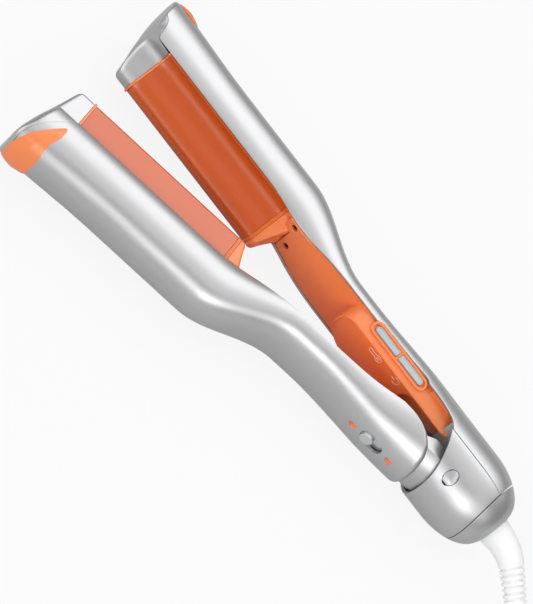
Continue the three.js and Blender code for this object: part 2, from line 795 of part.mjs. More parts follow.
function frontCoverPiece() {
  const outer = loft([...tailStations, 60].map((x) => tailRing(x, 0)));
  const inner = loft([capSplitX - 2, ...tailStations.slice(1), 62].map((x) => tailRing(x, tailWall)));
  const bosses = [-1, 1].map((s) => {
    const from = Math.min(s * (lugOuter + 0.5), s * 24);
    const to = Math.max(s * (lugOuter + 0.5), s * 24);
    return rodAcross(hingeX, hingeY, bossRadius, from, to);
  });
  const shell = outer.subtract(inner).add(bosses[0]).add(bosses[1]).intersect(outer);
  const capSeat = pinHalfLength + seam;
  const bores = rodAcross(hingeX, hingeY, pinRadius + 0.25, -40, 40)
    .add(rodAcross(hingeX, hingeY, hingeCapRadius + 0.25, capSeat, 40))
    .add(rodAcross(hingeX, hingeY, hingeCapRadius + 0.25, -40, -capSeat));
  const lower = block(-20, 100, -60, tailAxisY + seam / 2, -60, 60);
  return shell.subtract(bores).subtract(lower).subtract(mouthCut());
}

function hingeCapPiece(s) {
  const outer = loft([...tailStations, 60].map((x) => tailRing(x, 0.05)));
  const from = pinHalfLength + seam + 0.1;
  const rod = s > 0 ? rodAcross(hingeX, hingeY, hingeCapRadius, from, 30)
    : rodAcross(hingeX, hingeY, hingeCapRadius, -30, -from);
  return rod.intersect(outer);
}

function tailCapPiece() {
  const xs = [0, 0.5, 1.5, 3.5, 6.5, capSplitX];
  const outer = xs.map((x) => [x, tailRadiusAt(x)]);
  const spigot = tailRadiusAt(capSplitX) - tailWall - fit;
  const inner = [[capSplitX, spigot], [capSplitX + 3, spigot], [capSplitX + 3, spigot - 1.8],
    [7, tailRadiusAt(6) - 3.6], [3.6, 13.4], [3.6, exitRadius + 0.3], [0, exitRadius + 0.3]];
  const profile = [[0, exitRadius + 2.4], ...outer.slice(2), ...inner];
  return turnedAboutTail([...profile, profile[0]]);
}

function pinPiece() {
  return rodAcross(hingeX, hingeY, pinRadius, -pinHalfLength, pinHalfLength);
}

// One leg of the spring rests in the housing, the other behind the neck
function springPiece() {
  const turns = 2.75;
  const half = lugInner - 1.1;
  const coil = steps(0, turns, 22).map((turn) => {
    const angle = -turn * 2 * Math.PI;
    return [hingeX + springRadius * Math.cos(angle), hingeY + springRadius * Math.sin(angle),
      mix(-half, half, turn / turns)];
  });
  const route = [[hingeX + springRadius, hingeY + 5.9, -half], ...coil,
    [hingeX + 5.2, hingeY + springRadius, half]];
  return tube(curveThrough(route), 0.5, 48, 5);
}

// Front arm, in its own turned coordinates
const armHingeY = -hingeY;
const lockRunnerX = lockX - hookReach;
const lockRunnerHalf = 5.4;
const lockRunnerThickness = 1.8;
const lockRunnerLift = 2.2;
const lockRunnerTop = backAt(lockX, frontSide) + wall + lockRunnerLift + lockRunnerThickness;

function neckPiece() {
  const side = prismAcross([[hingeX, armHingeY - lugRadius], [44, armHingeY - 5.2],
    [neckEndX, armHingeY - 3.2], [neckEndX, -10.4], [60, -9.2], [52, -5.6], [45.5, -6.4],
    [hingeX + 3.4, armHingeY + 3.4], [hingeX, armHingeY + lugRadius]], -17.5, 17.5);
  const barrel = rodAcross(hingeX, armHingeY, lugRadius, -lugOuter, lugOuter);
  const bore = rodAcross(hingeX, armHingeY, bushRadius + 0.2, -40, 40);
  const middle = block(20, hingeX + 6.2, -40, 0, -lugInner, lugInner);
  const cheeks = block(20, hingeX + 6.4, -40, 0, lugOuter, 40)
    .add(block(20, hingeX + 6.4, -40, 0, -40, -lugOuter));
  const round = rodAlong(-tailAxisY, 0, neckRadius, 20, neckEndX + 2, 40);
  const body = side.subtract(cheeks).intersect(round).add(barrel);
  const reach = lockRunnerX - lockTravel - seam;
  const channel = block(reach, neckEndX + 2, -40, lockRunnerTop + seam,
    lockZ - lockRunnerHalf - seam, lockZ + lockRunnerHalf + seam);
  return body.subtract(bore).subtract(middle).subtract(channel)
    .intersect(frontBodyForNeck());
}

// Inside the front shell the neck keeps clear of the wall; ahead of it the neck is free
function frontBodyForNeck() {
  const free = block(0, frontEndX + 3.4, -60, 60, -60, 60);
  return frontBody(wall + fit).add(free);
}

function neckHole() {
  const round = rodAlong(-tailAxisY, 0, neckRadius + fit, 20, frontEndX + 8, 40);
  return round.intersect(block(20, frontEndX + 8, armHingeY - 5.6, 0, -17.8, 17.8));
}

function frontShellPiece() {
  const end = prismAcross([[-20, 10], [18.5, 10], [18, -4.8], [12.7, -7.5], [8.7, -10],
    [4.3, -14.2], [1.6, -19.2], [0, -24.5], [-1, -34], [-20, -34]]
    .map(([x, y]) => [frontEndX + x, y]));
  return armShell(frontBody, frontRimAt).subtract(end).subtract(neckHole()).subtract(lockSlot());
}

function lockSlot() {
  const shape = new THREE.Shape();
  shape.absarc(lockX, -lockZ, slotRadius, -Math.PI / 2, Math.PI / 2);
  shape.absarc(lockX - lockTravel, -lockZ, slotRadius, Math.PI / 2, Math.PI * 1.5);
  const geometry = new THREE.ExtrudeGeometry(shape, { depth: 26, bevelEnabled: false,
    curveSegments: 10 });
  return toSolid(geometry.rotateX(-Math.PI / 2).translate(0, backAt(lockX, frontSide) - 20, 0));
}

function frontPanelPiece() {
  const hookSlot = block(lockX - lockTravel - hookReach - 0.8, lockX + 3.2, -30, 10,
    lockZ - hookHalf - 0.8, lockZ + hookHalf + 0.8);
  return drilled(panelPiece(frontBody, frontRimAt, neckEndX + fit).subtract(hookSlot));
}

// The button, its plate inside the shell and the hook that reaches the keeper
function lockSliderPiece() {
  const back = backAt(lockX, frontSide);
  const low = lockRunnerTop - lockRunnerThickness;
  const button = rodUpright(lockX, lockZ, lockButtonRadius, back - lockProud, low + 0.2, 28);
  const runner = block(lockRunnerX, lockX + 5, low, lockRunnerTop, lockZ - lockRunnerHalf,
    lockZ + lockRunnerHalf);
  const [hookFar, hookNear] = [lockZ - hookHalf, lockZ + hookHalf];
  const arm = block(lockX - 0.6, lockX + 2, low, 1.4, hookFar, hookNear);
  const toe = block(lockX - hookReach, lockX + 2, 0.1, 1.4, hookFar, hookNear);
  return button.add(runner).add(arm).add(toe);
}

function bushPiece(s) {
  const from = s > 0 ? lugInner : -lugOuter;
  const to = s > 0 ? lugOuter : -lugInner;
  return rodAcross(hingeX, armHingeY, bushRadius, from, to)
    .subtract(rodAcross(hingeX, armHingeY, pinRadius + 0.2, -40, 40));
}

// Cord side, turning about the tail axis
const atExit = ([x, y, z]) => [x, y + tailAxisY, z];
const reliefRoute = [[3.2, 0, 0], [0, 0, 0], [-8, 0.1, -0.1], [-14, 0.9, -0.7], [-20, 3, -2.1],
  [-28, 6.9, -4.8], [-38, 12.2, -8.4], [-50, 18.6, -12.6]].map(atExit);
const cordHeight = -floorDrop + cordRadius + 0.05;
const coilBase = cordHeight + coilLift;
const coilCentreY = 30 - coilOuterRadius;

function reliefRadiusAt(s) {
  if (s < 18) {
    return mix(reliefRootRadius, 7.4, smooth(0, 18, s));
  }
  return mix(7.4, reliefEndRadius, (s - 18) / (reliefLength - 18));
}

// Rings follow the bent route, with square grooves between the ribs
function reliefPiece() {
  const path = curveThrough(reliefRoute);
  const length = path.getLength();
  const stations = steps(0, ribStart, 7).map((s) => [s, 0]);
  for (let s = ribStart; s + ribPitch < length; s += ribPitch) {
    stations.push([s + 0.1, 0], [s + 0.3, ribDepth], [s + 1.2, ribDepth], [s + 1.4, 0]);
  }
  stations.push([length, 0]);
  const shares = stations.map(([s]) => s / length);
  const rings = stations.map(([s, groove], i) => {
    const centre = path.getPointAt(Math.min(shares[i], 1));
    const along = path.getTangentAt(Math.min(shares[i], 1));
    const turn = new THREE.Quaternion().setFromUnitVectors(new THREE.Vector3(-1, 0, 0), along);
    const radius = reliefRadiusAt(s) - groove;
    return Array.from({ length: 20 }, (unused, k) => {
      const a = k * Math.PI / 10;
      const spoke = new THREE.Vector3(0, radius * Math.cos(a), radius * Math.sin(a));
      return spoke.applyQuaternion(turn).add(centre);
    });
  });
  return loft(rings);
}

function swivelCollarPiece() {
  const inner = reliefRootRadius + fit;
  const x0 = 4;
  return turnedAboutTail([[x0, inner], [x0, 12.6], [x0 + 2.6, 12.6], [x0 + 2.6, inner],
    [x0, inner]]);
}

// The free stretch from the relief to the coil, chosen by hand
const leadRoute = [[-50.32, 18.77, -12.71], [-60, 23.4, -15.8], [-70, 27.2, -18.3],
  [-82, 30.2, -20.1], [-96, 31.6, -20.8], [-110, 31.6, -20.8], [-124, 30.8, -20.5],
  [-132, 30.2, -20.1], [-139.7, 30, coilBase]].map(atExit);

class CoilPath extends THREE.Curve {
  getPoint(t, target = new THREE.Vector3()) {
    const total = 2 * coilTurns + 0.5;
    const turn = t * total;
    const climb = smooth(coilTurns, coilTurns + 0.5, turn);
    const dip = Math.min(Math.max(turn - coilTurns, 0), 0.5);
    const inner = coilOuterRadius - coilPitch * coilTurns;
    let radius = coilOuterRadius - coilPitch * turn;
    if (turn > coilTurns) {
      radius = inner - coilPitch * dip * (1 - dip / 0.5);
    }
    if (turn > coilTurns + 0.5) {
      radius = inner + coilPitch * (turn - coilTurns - 0.5);
    }
    const angle = Math.PI / 2 + turn * 2 * Math.PI;
    return target.set(coilCentreX + radius * Math.cos(angle),
      tailAxisY + coilCentreY + radius * Math.sin(angle), coilBase + coilLayerPitch * climb);
  }
}

const coilPath = new CoilPath();

function leastCoilGap() {
  const perTurn = 48;
  const total = Math.round((2 * coilTurns + 0.5) * perTurn);
  const points = steps(0, 1, total).map((t) => coilPath.getPoint(t));
  let least = Infinity;
  for (let i = 0; i < points.length; i++) {
    for (let k = i + perTurn / 3; k < points.length; k++) {
      least = Math.min(least, points[i].distanceTo(points[k]));
    }
  }
  return least - 2 * cordRadius;
}

function coilPiece() {
  return tube(coilPath, cordRadius, Math.round((2 * coilTurns + 0.5) * 24), 6);
}

// The last stretch from the top of the coil to the plug
const coilTop = coilBase + coilLayerPitch;
const plugHeight = -floorDrop + 9;
const endRoute = [[-139.7, 30 - 2 * coilOuterRadius, coilTop],
  [-132, 30 - 2 * coilOuterRadius, coilTop - 0.1], [-122, -68.4, coilTop - 0.9],
  [-112, -66.6, coilTop - 2], [-102, -66, plugHeight + 0.3], [-97, -66, plugHeight],
  [-92, -66, plugHeight]].map(atExit);
const plugStart = endRoute[endRoute.length - 1];

function plugPiece() {
  const [x0, y0, z0] = plugStart;
  const rings = [[0.3, 4.6, 4.6], [3, 5, 5], [14, 7.4, 6.4], [20, 11.5, 8.2], [24, 12.6, 8.6],
    [44, 12.6, 8.6], [46, 12, 8]].map(([x, halfY, halfZ]) =>
    Array.from({ length: 20 }, (unused, k) => {
      const a = k * Math.PI / 10;
      const round = (v) => Math.sign(v) * Math.abs(v) ** 0.6;
      return new THREE.Vector3(x0 + x, y0 + halfY * round(Math.cos(a)),
        z0 + halfZ * round(Math.sin(a)));
    }));
  return loft(rings);
}

function bladePiece(side) {
  const [x0, y0, z0] = plugStart;
  const y = y0 + side * 6.35;
  return block(x0 + 46.3, x0 + 63, y - 0.75, y + 0.75, z0 - 3.15, z0 + 3.15)
    .subtract(rodUpright(x0 + 59, z0, 1.6, y - 3, y + 3, 12));
}

function tiePiece() {
  const low = -floorDrop + 0.02;
  const high = coilTop + cordRadius + 0.5 + tieThickness;
  const inner = coilOuterRadius - coilPitch * coilTurns - cordRadius - 2.6;
  const outer = coilOuterRadius + cordRadius + 0.9;
  const ring = roundBar(-outer - tieThickness, -inner + tieThickness, low, high, 3);
  ring.holes.push(roundBar(-outer, -inner, low + tieThickness, high - tieThickness, 2));
  const geometry = new THREE.ExtrudeGeometry(ring, { depth: 12, bevelEnabled: false,
    curveSegments: 4 });
  geometry.rotateX(Math.PI / 2).translate(coilCentreX, tailAxisY + coilCentreY + 6, 0);
  return toSolid(geometry);
}

// Assembly
function dressArm(group, prefix, body, rimAt) {
  place(group, `${prefix}_root_block`, rootBlockPiece(body, rimAt), orangePlastic);
  place(group, `${prefix}_root_band`, bandPiece(), darkOrange);
  place(group, `${prefix}_plate`, platePiece(), coatedPlate);
  place(group, `${prefix}_tip_lip`, lipPiece(), orangePlastic);
  place(group, `${prefix}_end_cap`, endCapPiece(body, rimAt), silverPaint);
  place(group, `${prefix}_tip_accent`, accentPiece(rimAt), orangePlastic);
  place(group, `${prefix}_heater`, heaterPiece(), heaterAlloy);
  place(group, `${prefix}_thermal_fuse`, fusePiece(), steel);
  place(group, `${prefix}_plate_carrier`, carrierPiece(), beigeFrame);
  panelScrewHoles.forEach((hole, i) => {
    place(group, `${prefix}_panel_screw_${i + 1}`, panelScrewPiece(hole), steel);
  });
}

dressArm(baseArm, 'base', baseBody, baseRimAt);
place(baseArm, 'base_shell', baseShellPiece(), silverPaint);
place(baseArm, 'base_inner_panel', basePanelPiece(), orangePlastic);
place(baseArm, 'control_console', consolePiece(), orangePlastic);
place(baseArm, 'lock_keeper', keeperPiece(), steel);
place(baseArm, 'circuit_board', circuitBoardPiece(), boardGreen);
place(baseArm, 'tail_front_cover', frontCoverPiece(), silverPaint);
place(baseArm, 'tail_cap', tailCapPiece(), silverPaint);
place(baseArm, 'hinge_pin', pinPiece(), steel);
place(baseArm, 'hinge_cap_near', hingeCapPiece(1), silverPaint);
place(baseArm, 'hinge_cap_far', hingeCapPiece(-1), silverPaint);
place(baseArm, 'opening_spring', springPiece(), steel);
place(facetGroup, 'button_bezel', bezelPiece(), orangePlastic);
place(facetGroup, 'temp_button', buttonPiece(tempButtonX), greyButton);
place(facetGroup, 'power_button', buttonPiece(powerButtonX), greyButton);
place(facetGroup, 'temp_switch', switchPiece(tempButtonX), blackPlastic);
place(facetGroup, 'power_switch', switchPiece(powerButtonX), blackPlastic);
place(facetGroup, 'switch_board', switchBoardPiece(), boardGreen);
baseArm.add(facetGroup);

dressArm(frontArm, 'front', frontBody, frontRimAt);
place(frontArm, 'front_shell', frontShellPiece(), silverPaint);
place(frontArm, 'front_inner_panel', frontPanelPiece(), orangePlastic);
place(frontArm, 'front_neck', neckPiece(), silverPaint);
place(frontArm, 'hinge_bush_near', bushPiece(-1), brass);
place(frontArm, 'hinge_bush_far', bushPiece(1), brass);
place(frontArm, 'lock_slider', lockSliderPiece(), greyButton);

place(cordSide, 'strain_relief', reliefPiece(), whiteRubber);
place(cordSide, 'swivel_collar', swivelCollarPiece(), blackPlastic);
place(cordSide, 'cord_lead', tube(curveThrough(leadRoute), cordRadius, 16, 10), whiteRubber);
place(cordSide, 'cord_coil', coilPiece(), whiteRubber);
place(cordSide, 'cord_end', tube(curveThrough(endRoute), cordRadius, 10, 10), whiteRubber);
place(cordSide, 'cord_tie', tiePiece(), blackPlastic);
place(cordSide, 'mains_plug', plugPiece(), whiteRubber);
place(cordSide, 'plug_blade_left', bladePiece(-1), brass);
place(cordSide, 'plug_blade_right', bladePiece(1), brass);

console.log(`least gap between the turns of the coil: ${leastCoilGap().toFixed(2)} mm`);

// The front arm is turned half round the long axis, then swung open about the hinge
const frontSwing = new THREE.Group();
frontSwing.position.set(hingeX, hingeY, 0);
frontSwing.rotation.z = openAngle;
const frontTurn = new THREE.Group();
frontTurn.position.set(-hingeX, -hingeY, 0);
frontTurn.rotation.x = Math.PI;
frontTurn.add(frontArm);
frontSwing.add(frontTurn);

assembly.add(baseArm, frontSwing, cordSide);

// The origin is under the middle of the waver itself, on the surface that it lies on
const waverBox = new THREE.Box3().setFromObject(baseArm, true)
  .union(new THREE.Box3().setFromObject(frontSwing, true));
const middle = waverBox.getCenter(new THREE.Vector3());
assembly.position.set(-middle.x, -middle.y, floorDrop);

const waver = new THREE.Group();
waver.add(assembly);

export default waver;
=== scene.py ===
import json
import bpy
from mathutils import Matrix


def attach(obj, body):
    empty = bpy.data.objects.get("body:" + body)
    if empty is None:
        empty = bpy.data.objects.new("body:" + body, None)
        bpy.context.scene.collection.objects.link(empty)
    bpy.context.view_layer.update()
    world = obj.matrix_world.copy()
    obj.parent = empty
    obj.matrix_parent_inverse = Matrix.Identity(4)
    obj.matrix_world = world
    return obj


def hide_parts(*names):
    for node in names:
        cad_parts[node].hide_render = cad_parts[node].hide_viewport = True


bl_info = {
    "name": "Hair waver",
    "version": (1, 0, 0),
    "blender": (4, 5, 0),
    "location": "View3D > Sidebar > Waver",
    "description": "Finishes an open hair waver and its cord around the packed frame",
    "category": "Add Mesh",
}

from math import asin, atan2, cos, copysign, pi, radians, sin, sqrt

import bpy
from bpy.props import FloatProperty, FloatVectorProperty, IntProperty, PointerProperty
from mathutils import Matrix, Vector

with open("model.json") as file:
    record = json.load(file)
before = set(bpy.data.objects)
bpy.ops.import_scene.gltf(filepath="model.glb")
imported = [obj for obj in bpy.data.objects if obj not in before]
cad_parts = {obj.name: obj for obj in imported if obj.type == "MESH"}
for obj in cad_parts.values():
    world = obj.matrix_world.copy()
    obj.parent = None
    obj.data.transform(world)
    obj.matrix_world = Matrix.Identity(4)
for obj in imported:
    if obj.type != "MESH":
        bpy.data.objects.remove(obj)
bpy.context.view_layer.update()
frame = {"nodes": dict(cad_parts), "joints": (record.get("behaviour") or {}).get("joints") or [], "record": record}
joints = {joint["name"]: joint for joint in frame["joints"]}

MM = 0.001

# The arm frame in millimetres: x from the cord exit to the tip, y = 0 where the closed jaws meet,
# z across the width. The front arm is the base arm's shape turned over and swung open.
TAIL_Y = 2.6
EXIT = Vector(joints["cord_swivel"]["pos_m"]) / MM
ORIGIN = EXIT - Vector((0, TAIL_Y, 0))
PIVOT = Vector(joints["arm_hinge"]["pos_m"]) / MM - ORIGIN
OPEN_ANGLE = radians(-joints["arm_hinge"]["range_deg"][0])
BASE_PLACE = Matrix.Translation(ORIGIN)
FACET_TURN = Matrix.Rotation(-atan2(3, 7.65), 4, "X")
FACET_PLACE = BASE_PLACE @ Matrix.Translation((0, -6.15, 17.2)) @ FACET_TURN
FRONT_PLACE = (
    Matrix.Translation(ORIGIN + PIVOT)
    @ Matrix.Rotation(OPEN_ANGLE, 4, "Z")
    @ Matrix.Translation(-PIVOT)
    @ Matrix.Rotation(pi, 4, "X")
)

# Casing sections: half widths, depths, and where one shape blends into the next along the arm
TAIL_BLEND = (50, 95)
JAW_BLEND = (138, 192)
RIM_BLEND = (165, 208)
FLARE_BLEND = (250, 311.5)
TIP_FLARE = 1.6
WAIST_HALF = 18.75
GRIP_HALF = 19.5
JAW_HALF = 16.5
WAIST_DEPTH = 12.6
HANDLE_POWER = 2.4
TAIL_RADIUS = 24.58
TAIL_ROUND = 28
EXIT_RADIUS = 9.2
CAP_SPLIT = 10
SEAM_BOW = 2.6
FRONT_RADIUS = 23.4
HANDLE_RIM = 6.15
WAIST_X = 125
GRIP_X = 75
JAW_DROP = 20.2
JAW_DEPTH = 17.5
JAW_RIM = 9.6
FRONT_RIM_LIFT = 2.05
FRONT_RIM_BLEND = (72, 105)
NOSE_BEND = 270
TAIL_BEND = 84
# The rim of the base casing dips under the key frame between these ramps
SEAT_RAMPS = ((77.4, 80.6), (115.9, 119.1))
SEAT_DEPTH = 1.9
CONSOLE_TAIL = 51.8
CONSOLE_NOSE = 115.8
CONSOLE_MIDDLE = 1.4

# Where the casings end, as height and place along the arm: at the nose on the crest side and on the
# valley side, and at the tail of the front arm
CREST_EDGE = ((-42, 305.4), (-40.6, 306.6), (-38.7, 307.8), (-36.6, 308.2), (-33.6, 307.4), (-30.3, 305.9),
              (-26.8, 303.8), (-22.5, 300.8), (-18.4, 297.6), (-14.2, 294.2), (-11.6, 291.6), (-9.6, 289.7))
VALLEY_EDGE = ((-42, 305), (-40.6, 306.2), (-38, 307.4), (-34, 307.6), (-28, 307.4), (-24, 307),
               (-21.4, 306.3), (-20.6, 304.8), (-19.4, 303.1), (-15.9, 301.4), (-12, 300), (-10.4, 299.1),
               (-9.6, 298.4))
FRONT_EDGE = ((-27, 49.5), (-23.4, 50.1), (-19.2, 51.1), (-14.2, 53.8), (-10, 58.2), (-7.5, 62.2),
              (-5.4, 67.5), (-4.3, 73), (-3.9, 76))
LOCK_Z = -2.9
MOUTH_TOP = 41
MOUTH_REACH = 13
MOUTH_POWER = 1.3

# Wave of the jaws
WAVE_HEIGHT = 9
WAVE_RUN = 7.6
PLATE_GAP = 1.2
PLATE_HALF = 11.8
VALLEY_HALF = 12.9
PLATE_FOOT = -13.2
PLATE_START = 192.4
PLATE_END = 288.2
BAND_WIDTH = 2
ROOT_CREST_X = PLATE_START - 5.4
ROOT_FOOT_X = PLATE_START - 16.5
CREST_RADIUS = 2.0
NOSE_DOME = 1.6
NOSE_PROFILE = ((-41.5, 307), (-40.5, 309), (-39, 310.2), (-37, 310.9), (-34, 310.9), (-30, 310.1),
                (-21, 308.3), (-8, 304.8), (4, 301.5), (9, 300))
# The valley edge of the tip cap rounds off more and more towards the tip: reach across and down
FILLET_WIDE = ((289, 1.2), (292, 2.6), (305, 9))
FILLET_TALL = ((289, 0.8), (296, 1.2), (299.5, 2.6), (301.4, 6.2), (303, 10), (306, 11))
FILLET_CORNER = (14.3, -JAW_RIM)
ACCENT_TIP_EDGE = ((-38.9, 308.2), (-37.7, 307.3), (-35.1, 305.9), (-32.3, 304.1), (-29.4, 301.8),
                   (-26.3, 299.3), (-23.3, 296.7), (-20.6, 294.6), (-18.6, 292.9))
ACCENT_ROOT_EDGE = ((-38.6, 292.6), (-35.3, 293.5), (-31.7, 293.6), (-28, 292.5), (-24.8, 291.6),
                    (-20.4, 291.3), (-18.6, 292.1))

# Cord and coil, as in the solids
CORD_RADIUS = 3.25
FLOOR_DROP = ORIGIN.z
CORD_HEIGHT = -FLOOR_DROP + CORD_RADIUS + 0.05
COIL_PITCH = 7.2
COIL_TURNS = 3
COIL_OUTER = 49.5
COIL_X = -140
COIL_BASE = CORD_HEIGHT + 1.5
COIL_TOP = COIL_BASE + COIL_PITCH
COIL_Y = 30 - COIL_OUTER
PLUG_HEIGHT = -FLOOR_DROP + 9
RELIEF_ROUTE = (
    (3.2, 0, 0), (0, 0, 0), (-8, 0.1, -0.1), (-14, 0.9, -0.7), (-20, 3, -2.1), (-28, 6.9, -4.8),
    (-38, 12.2, -8.4), (-50, 18.6, -12.6),
)
LEAD_ROUTE = (
    (-60, 23.4, -15.8), (-70, 27.2, -18.3), (-82, 30.2, -20.1), (-96, 31.6, -20.8), (-110, 31.6, -20.8),
    (-124, 30.8, -20.5), (-132, 30.2, -20.1),
)
END_ROUTE = (
    (-132, 30 - 2 * COIL_OUTER, COIL_TOP - 0.1), (-122, -68.4, COIL_TOP - 0.9), (-112, -66.6, COIL_TOP - 2),
    (-102, -66, PLUG_HEIGHT + 0.3), (-97, -66, PLUG_HEIGHT), (-92, -66, PLUG_HEIGHT),
)


def linear(hex_colour):
    """An sRGB hex colour as linear red, green, blue and alpha."""
    parts = [int(hex_colour[i:i + 2], 16) / 255 for i in (1, 3, 5)]
    return [p / 12.92 if p <= 0.04045 else ((p + 0.055) / 1.055) ** 2.4 for p in parts] + [1.0]


def colour(name, hex_colour, words):
    """A colour that a user would change."""
    return FloatVectorProperty(
        name=name, description=words, subtype="COLOR", size=4, min=0, max=1, default=linear(hex_colour)
    )


def length(name, millimetres, words):
    """A size that a user would change, in millimetres."""
    return FloatProperty(name=name, description=words, default=millimetres * MM, unit="LENGTH", precision=5)


class WaverSizes(bpy.types.PropertyGroup):
    casing_wall: length("Casing wall", 1.4, "Thickness of the silver casings")
    rim_round: length("Rim round", 0.6, "Rounding of the casings' cut edges")
    plate_wall: length("Plate wall", 2.0, "Thickness of the heated plates")
    accent_proud: length("Accent height", 0.7, "How far the tip accent stands out of the casing")
    nose_round: length("Nose round", 3.4, "Rounding round the tip face of each arm")
    rib_depth: length("Rib depth", 1.2, "Depth of the grooves of the strain relief")
    casing_rows: IntProperty(name="Casing rows", description="Rows of faces along a casing", default=170)
    casing_columns: IntProperty(name="Casing columns", description="Faces round a casing", default=110)


class WaverColours(bpy.types.PropertyGroup):
    silver: colour("Silver", "#B9B9BA", "Lacquer of the casings")
    orange: colour("Orange", "#F2854A", "Moulded inner pieces")
    trim: colour("Trim", "#E06A20", "Bands and lips at the plates")
    plate: colour("Plate", "#CA561B", "Coating of the plates")
    button: colour("Buttons", "#B4BDC0", "Keys and lock slider")
    cord: colour("Cord", "#F1F1F1", "Cord, strain relief and plug")
    mark: colour("Marks", "#F9CDB4", "Printed symbols on the console")
    lock_mark: colour("Lock marks", "#F0794A", "Printed locks on the back")


# Shapes shared by the pieces

def mix(a, b, t):
    return a + (b - a) * t


def clamp(value, low=0):
    """A value kept between low and 1."""
    return min(max(value, low), 1)


def smooth(start, end, x):
    t = clamp((x - start) / (end - start))
    return t * t * (3 - 2 * t)


def signed(value, power):
    """A power of a value that keeps its sign."""
    return copysign(abs(value) ** power, value)


def steps(start, end, count):
    return [mix(start, end, i / count) for i in range(count + 1)]


def between(pairs, x):
    """The value at x on the straight runs between pairs that rise in x."""
    if x <= pairs[0][0]:
        return pairs[0][1]
    for (x0, y0), (x1, y1) in zip(pairs, pairs[1:]):
        if x <= x1:
            return mix(y0, y1, (x - x0) / (x1 - x0))
    return pairs[-1][1]


def laid(place, x, y, z):
    """A point in millimetres in an arm's frame, as the point in metres where the arm lies."""
    return (place @ Vector((x, y, z))) * MM


def run_length(points):
    """The length of a line of points."""
    return sum((b - a).length for a, b in zip(points, points[1:]))


def even_line(points, count):
    """count + 1 points spaced evenly along a line of points."""
    points = [Vector(p) for p in points]
    lengths = [0.0]
    for a, b in zip(points, points[1:]):
        lengths.append(lengths[-1] + (b - a).length)
    spaced = []
    k = 0
    for i in range(count + 1):
        target = lengths[-1] * i / count
        while k + 2 < len(points) and lengths[k + 1] < target:
            k += 1
        share = (target - lengths[k]) / max(lengths[k + 1] - lengths[k], 1e-9)
        spaced.append(points[k].lerp(points[k + 1], clamp(share)))
    return spaced


def tail_radius(x):
    t = clamp(1 - x / TAIL_ROUND)
    return EXIT_RADIUS + (TAIL_RADIUS - EXIT_RADIUS) * sqrt(1 - t * t)


def seam_x(y):
    """Where the tail cap meets the housing: bowed, and farthest from the cord at the sides."""
    return CAP_SPLIT + SEAM_BOW * (1 - min(((y - TAIL_Y) / TAIL_RADIUS) ** 2, 1))


def jaw_rim(x):
    return mix(-HANDLE_RIM, -JAW_RIM, smooth(*RIM_BLEND, x))


def rim_rise(x, start, run, rise):
    t = clamp((start + run - x) / run)
    return rise * (1 - sqrt(1 - t * t))


class Arm:
    """One arm: where it lies, what it rides on and how its tail end differs."""

    def __init__(self, name, place, body, grip_depth, tail_y, radius, rim, start):
        self.name, self.place, self.body = name, place, body
        self.grip_depth, self.tail_y, self.radius = grip_depth, tail_y, radius
        self.rim, self.start = rim, start

    def section(self, x):
        """Centre height, half width, depth and power of the rounded section at x."""
        jaw = smooth(*JAW_BLEND, x)
        tail = 1 - smooth(*TAIL_BLEND, x)
        grip = 1 - smooth(GRIP_X, WAIST_X, x)
        flare = TIP_FLARE * smooth(*FLARE_BLEND, x)
        centre = mix(-HANDLE_RIM, -JAW_DROP - flare / 2, jaw)
        half = mix(mix(WAIST_HALF, GRIP_HALF, grip), JAW_HALF, jaw)
        depth = mix(mix(WAIST_DEPTH, self.grip_depth, grip), JAW_DEPTH + flare, jaw)
        radius = self.radius(x)
        return (mix(centre, self.tail_y, tail), mix(half, radius, tail), mix(depth, radius, tail),
                mix(HANDLE_POWER, 2, tail))

    def skin(self, x, angle, out=0.0):
        """A point on the outside, by its angle round the section."""
        centre, half, depth, power = self.section(x)
        y = centre + (depth + out) * signed(sin(angle), 2 / power)
        return Vector((x, y, (half + out) * signed(cos(angle), 2 / power)))

    def angle_at(self, x, height):
        """The angle at which the near side reaches a height."""
        centre, _, depth, power = self.section(x)
        return asin(signed(clamp((height - centre) / depth, -1), power / 2))

    def turn(self, x, share):
        """The angle at a share of the way round, from the far rim to the near one."""
        near = self.angle_at(x, self.rim(x, 1))
        far = self.angle_at(x, self.rim(x, -1))
        return mix(-pi - far, near, share)


def base_rim(x, side):
    height = jaw_rim(x) + rim_rise(x, MOUTH_TOP + MOUTH_REACH, 30, HANDLE_RIM + TAIL_Y - 0.15)
    first, last = SEAT_RAMPS
    seat = smooth(*first, x) * (1 - smooth(*last, x)) if side > 0 else 0
    return height - SEAT_DEPTH * seat


def front_rim(x, side):
    return jaw_rim(x) + FRONT_RIM_LIFT * (1 - smooth(*FRONT_RIM_BLEND, x))


BASE = Arm("base", BASE_PLACE, "base_arm", 14.9, TAIL_Y, tail_radius, base_rim,
           lambda y: seam_x(y) + 0.3)
FRONT = Arm("front", FRONT_PLACE, "front_arm", 17, -TAIL_Y, lambda x: FRONT_RADIUS, front_rim,
            lambda y: between(FRONT_EDGE, y))
ARMS = (BASE, FRONT)


def nose_edge(y, near):
    return between(VALLEY_EDGE if near else CREST_EDGE, y)


def meet(arm, share, x, edge):
    """Where the skin at a share of the way round meets an edge given by height."""
    for _ in range(12):
        x = mix(x, edge(arm.skin(x, arm.turn(x, share)).y), 0.6)
    return x


def wave(z):
    return -WAVE_HEIGHT * sin(clamp(z / WAVE_RUN, -1) * pi / 2) - PLATE_GAP / 2


def valley_dip(z):
    """The valley lies a little below the casing's rim and comes up to it at the edge."""
    return -0.7 * smooth(2, 8, z) * (1 - smooth(9.5, VALLEY_HALF - 0.4, z))


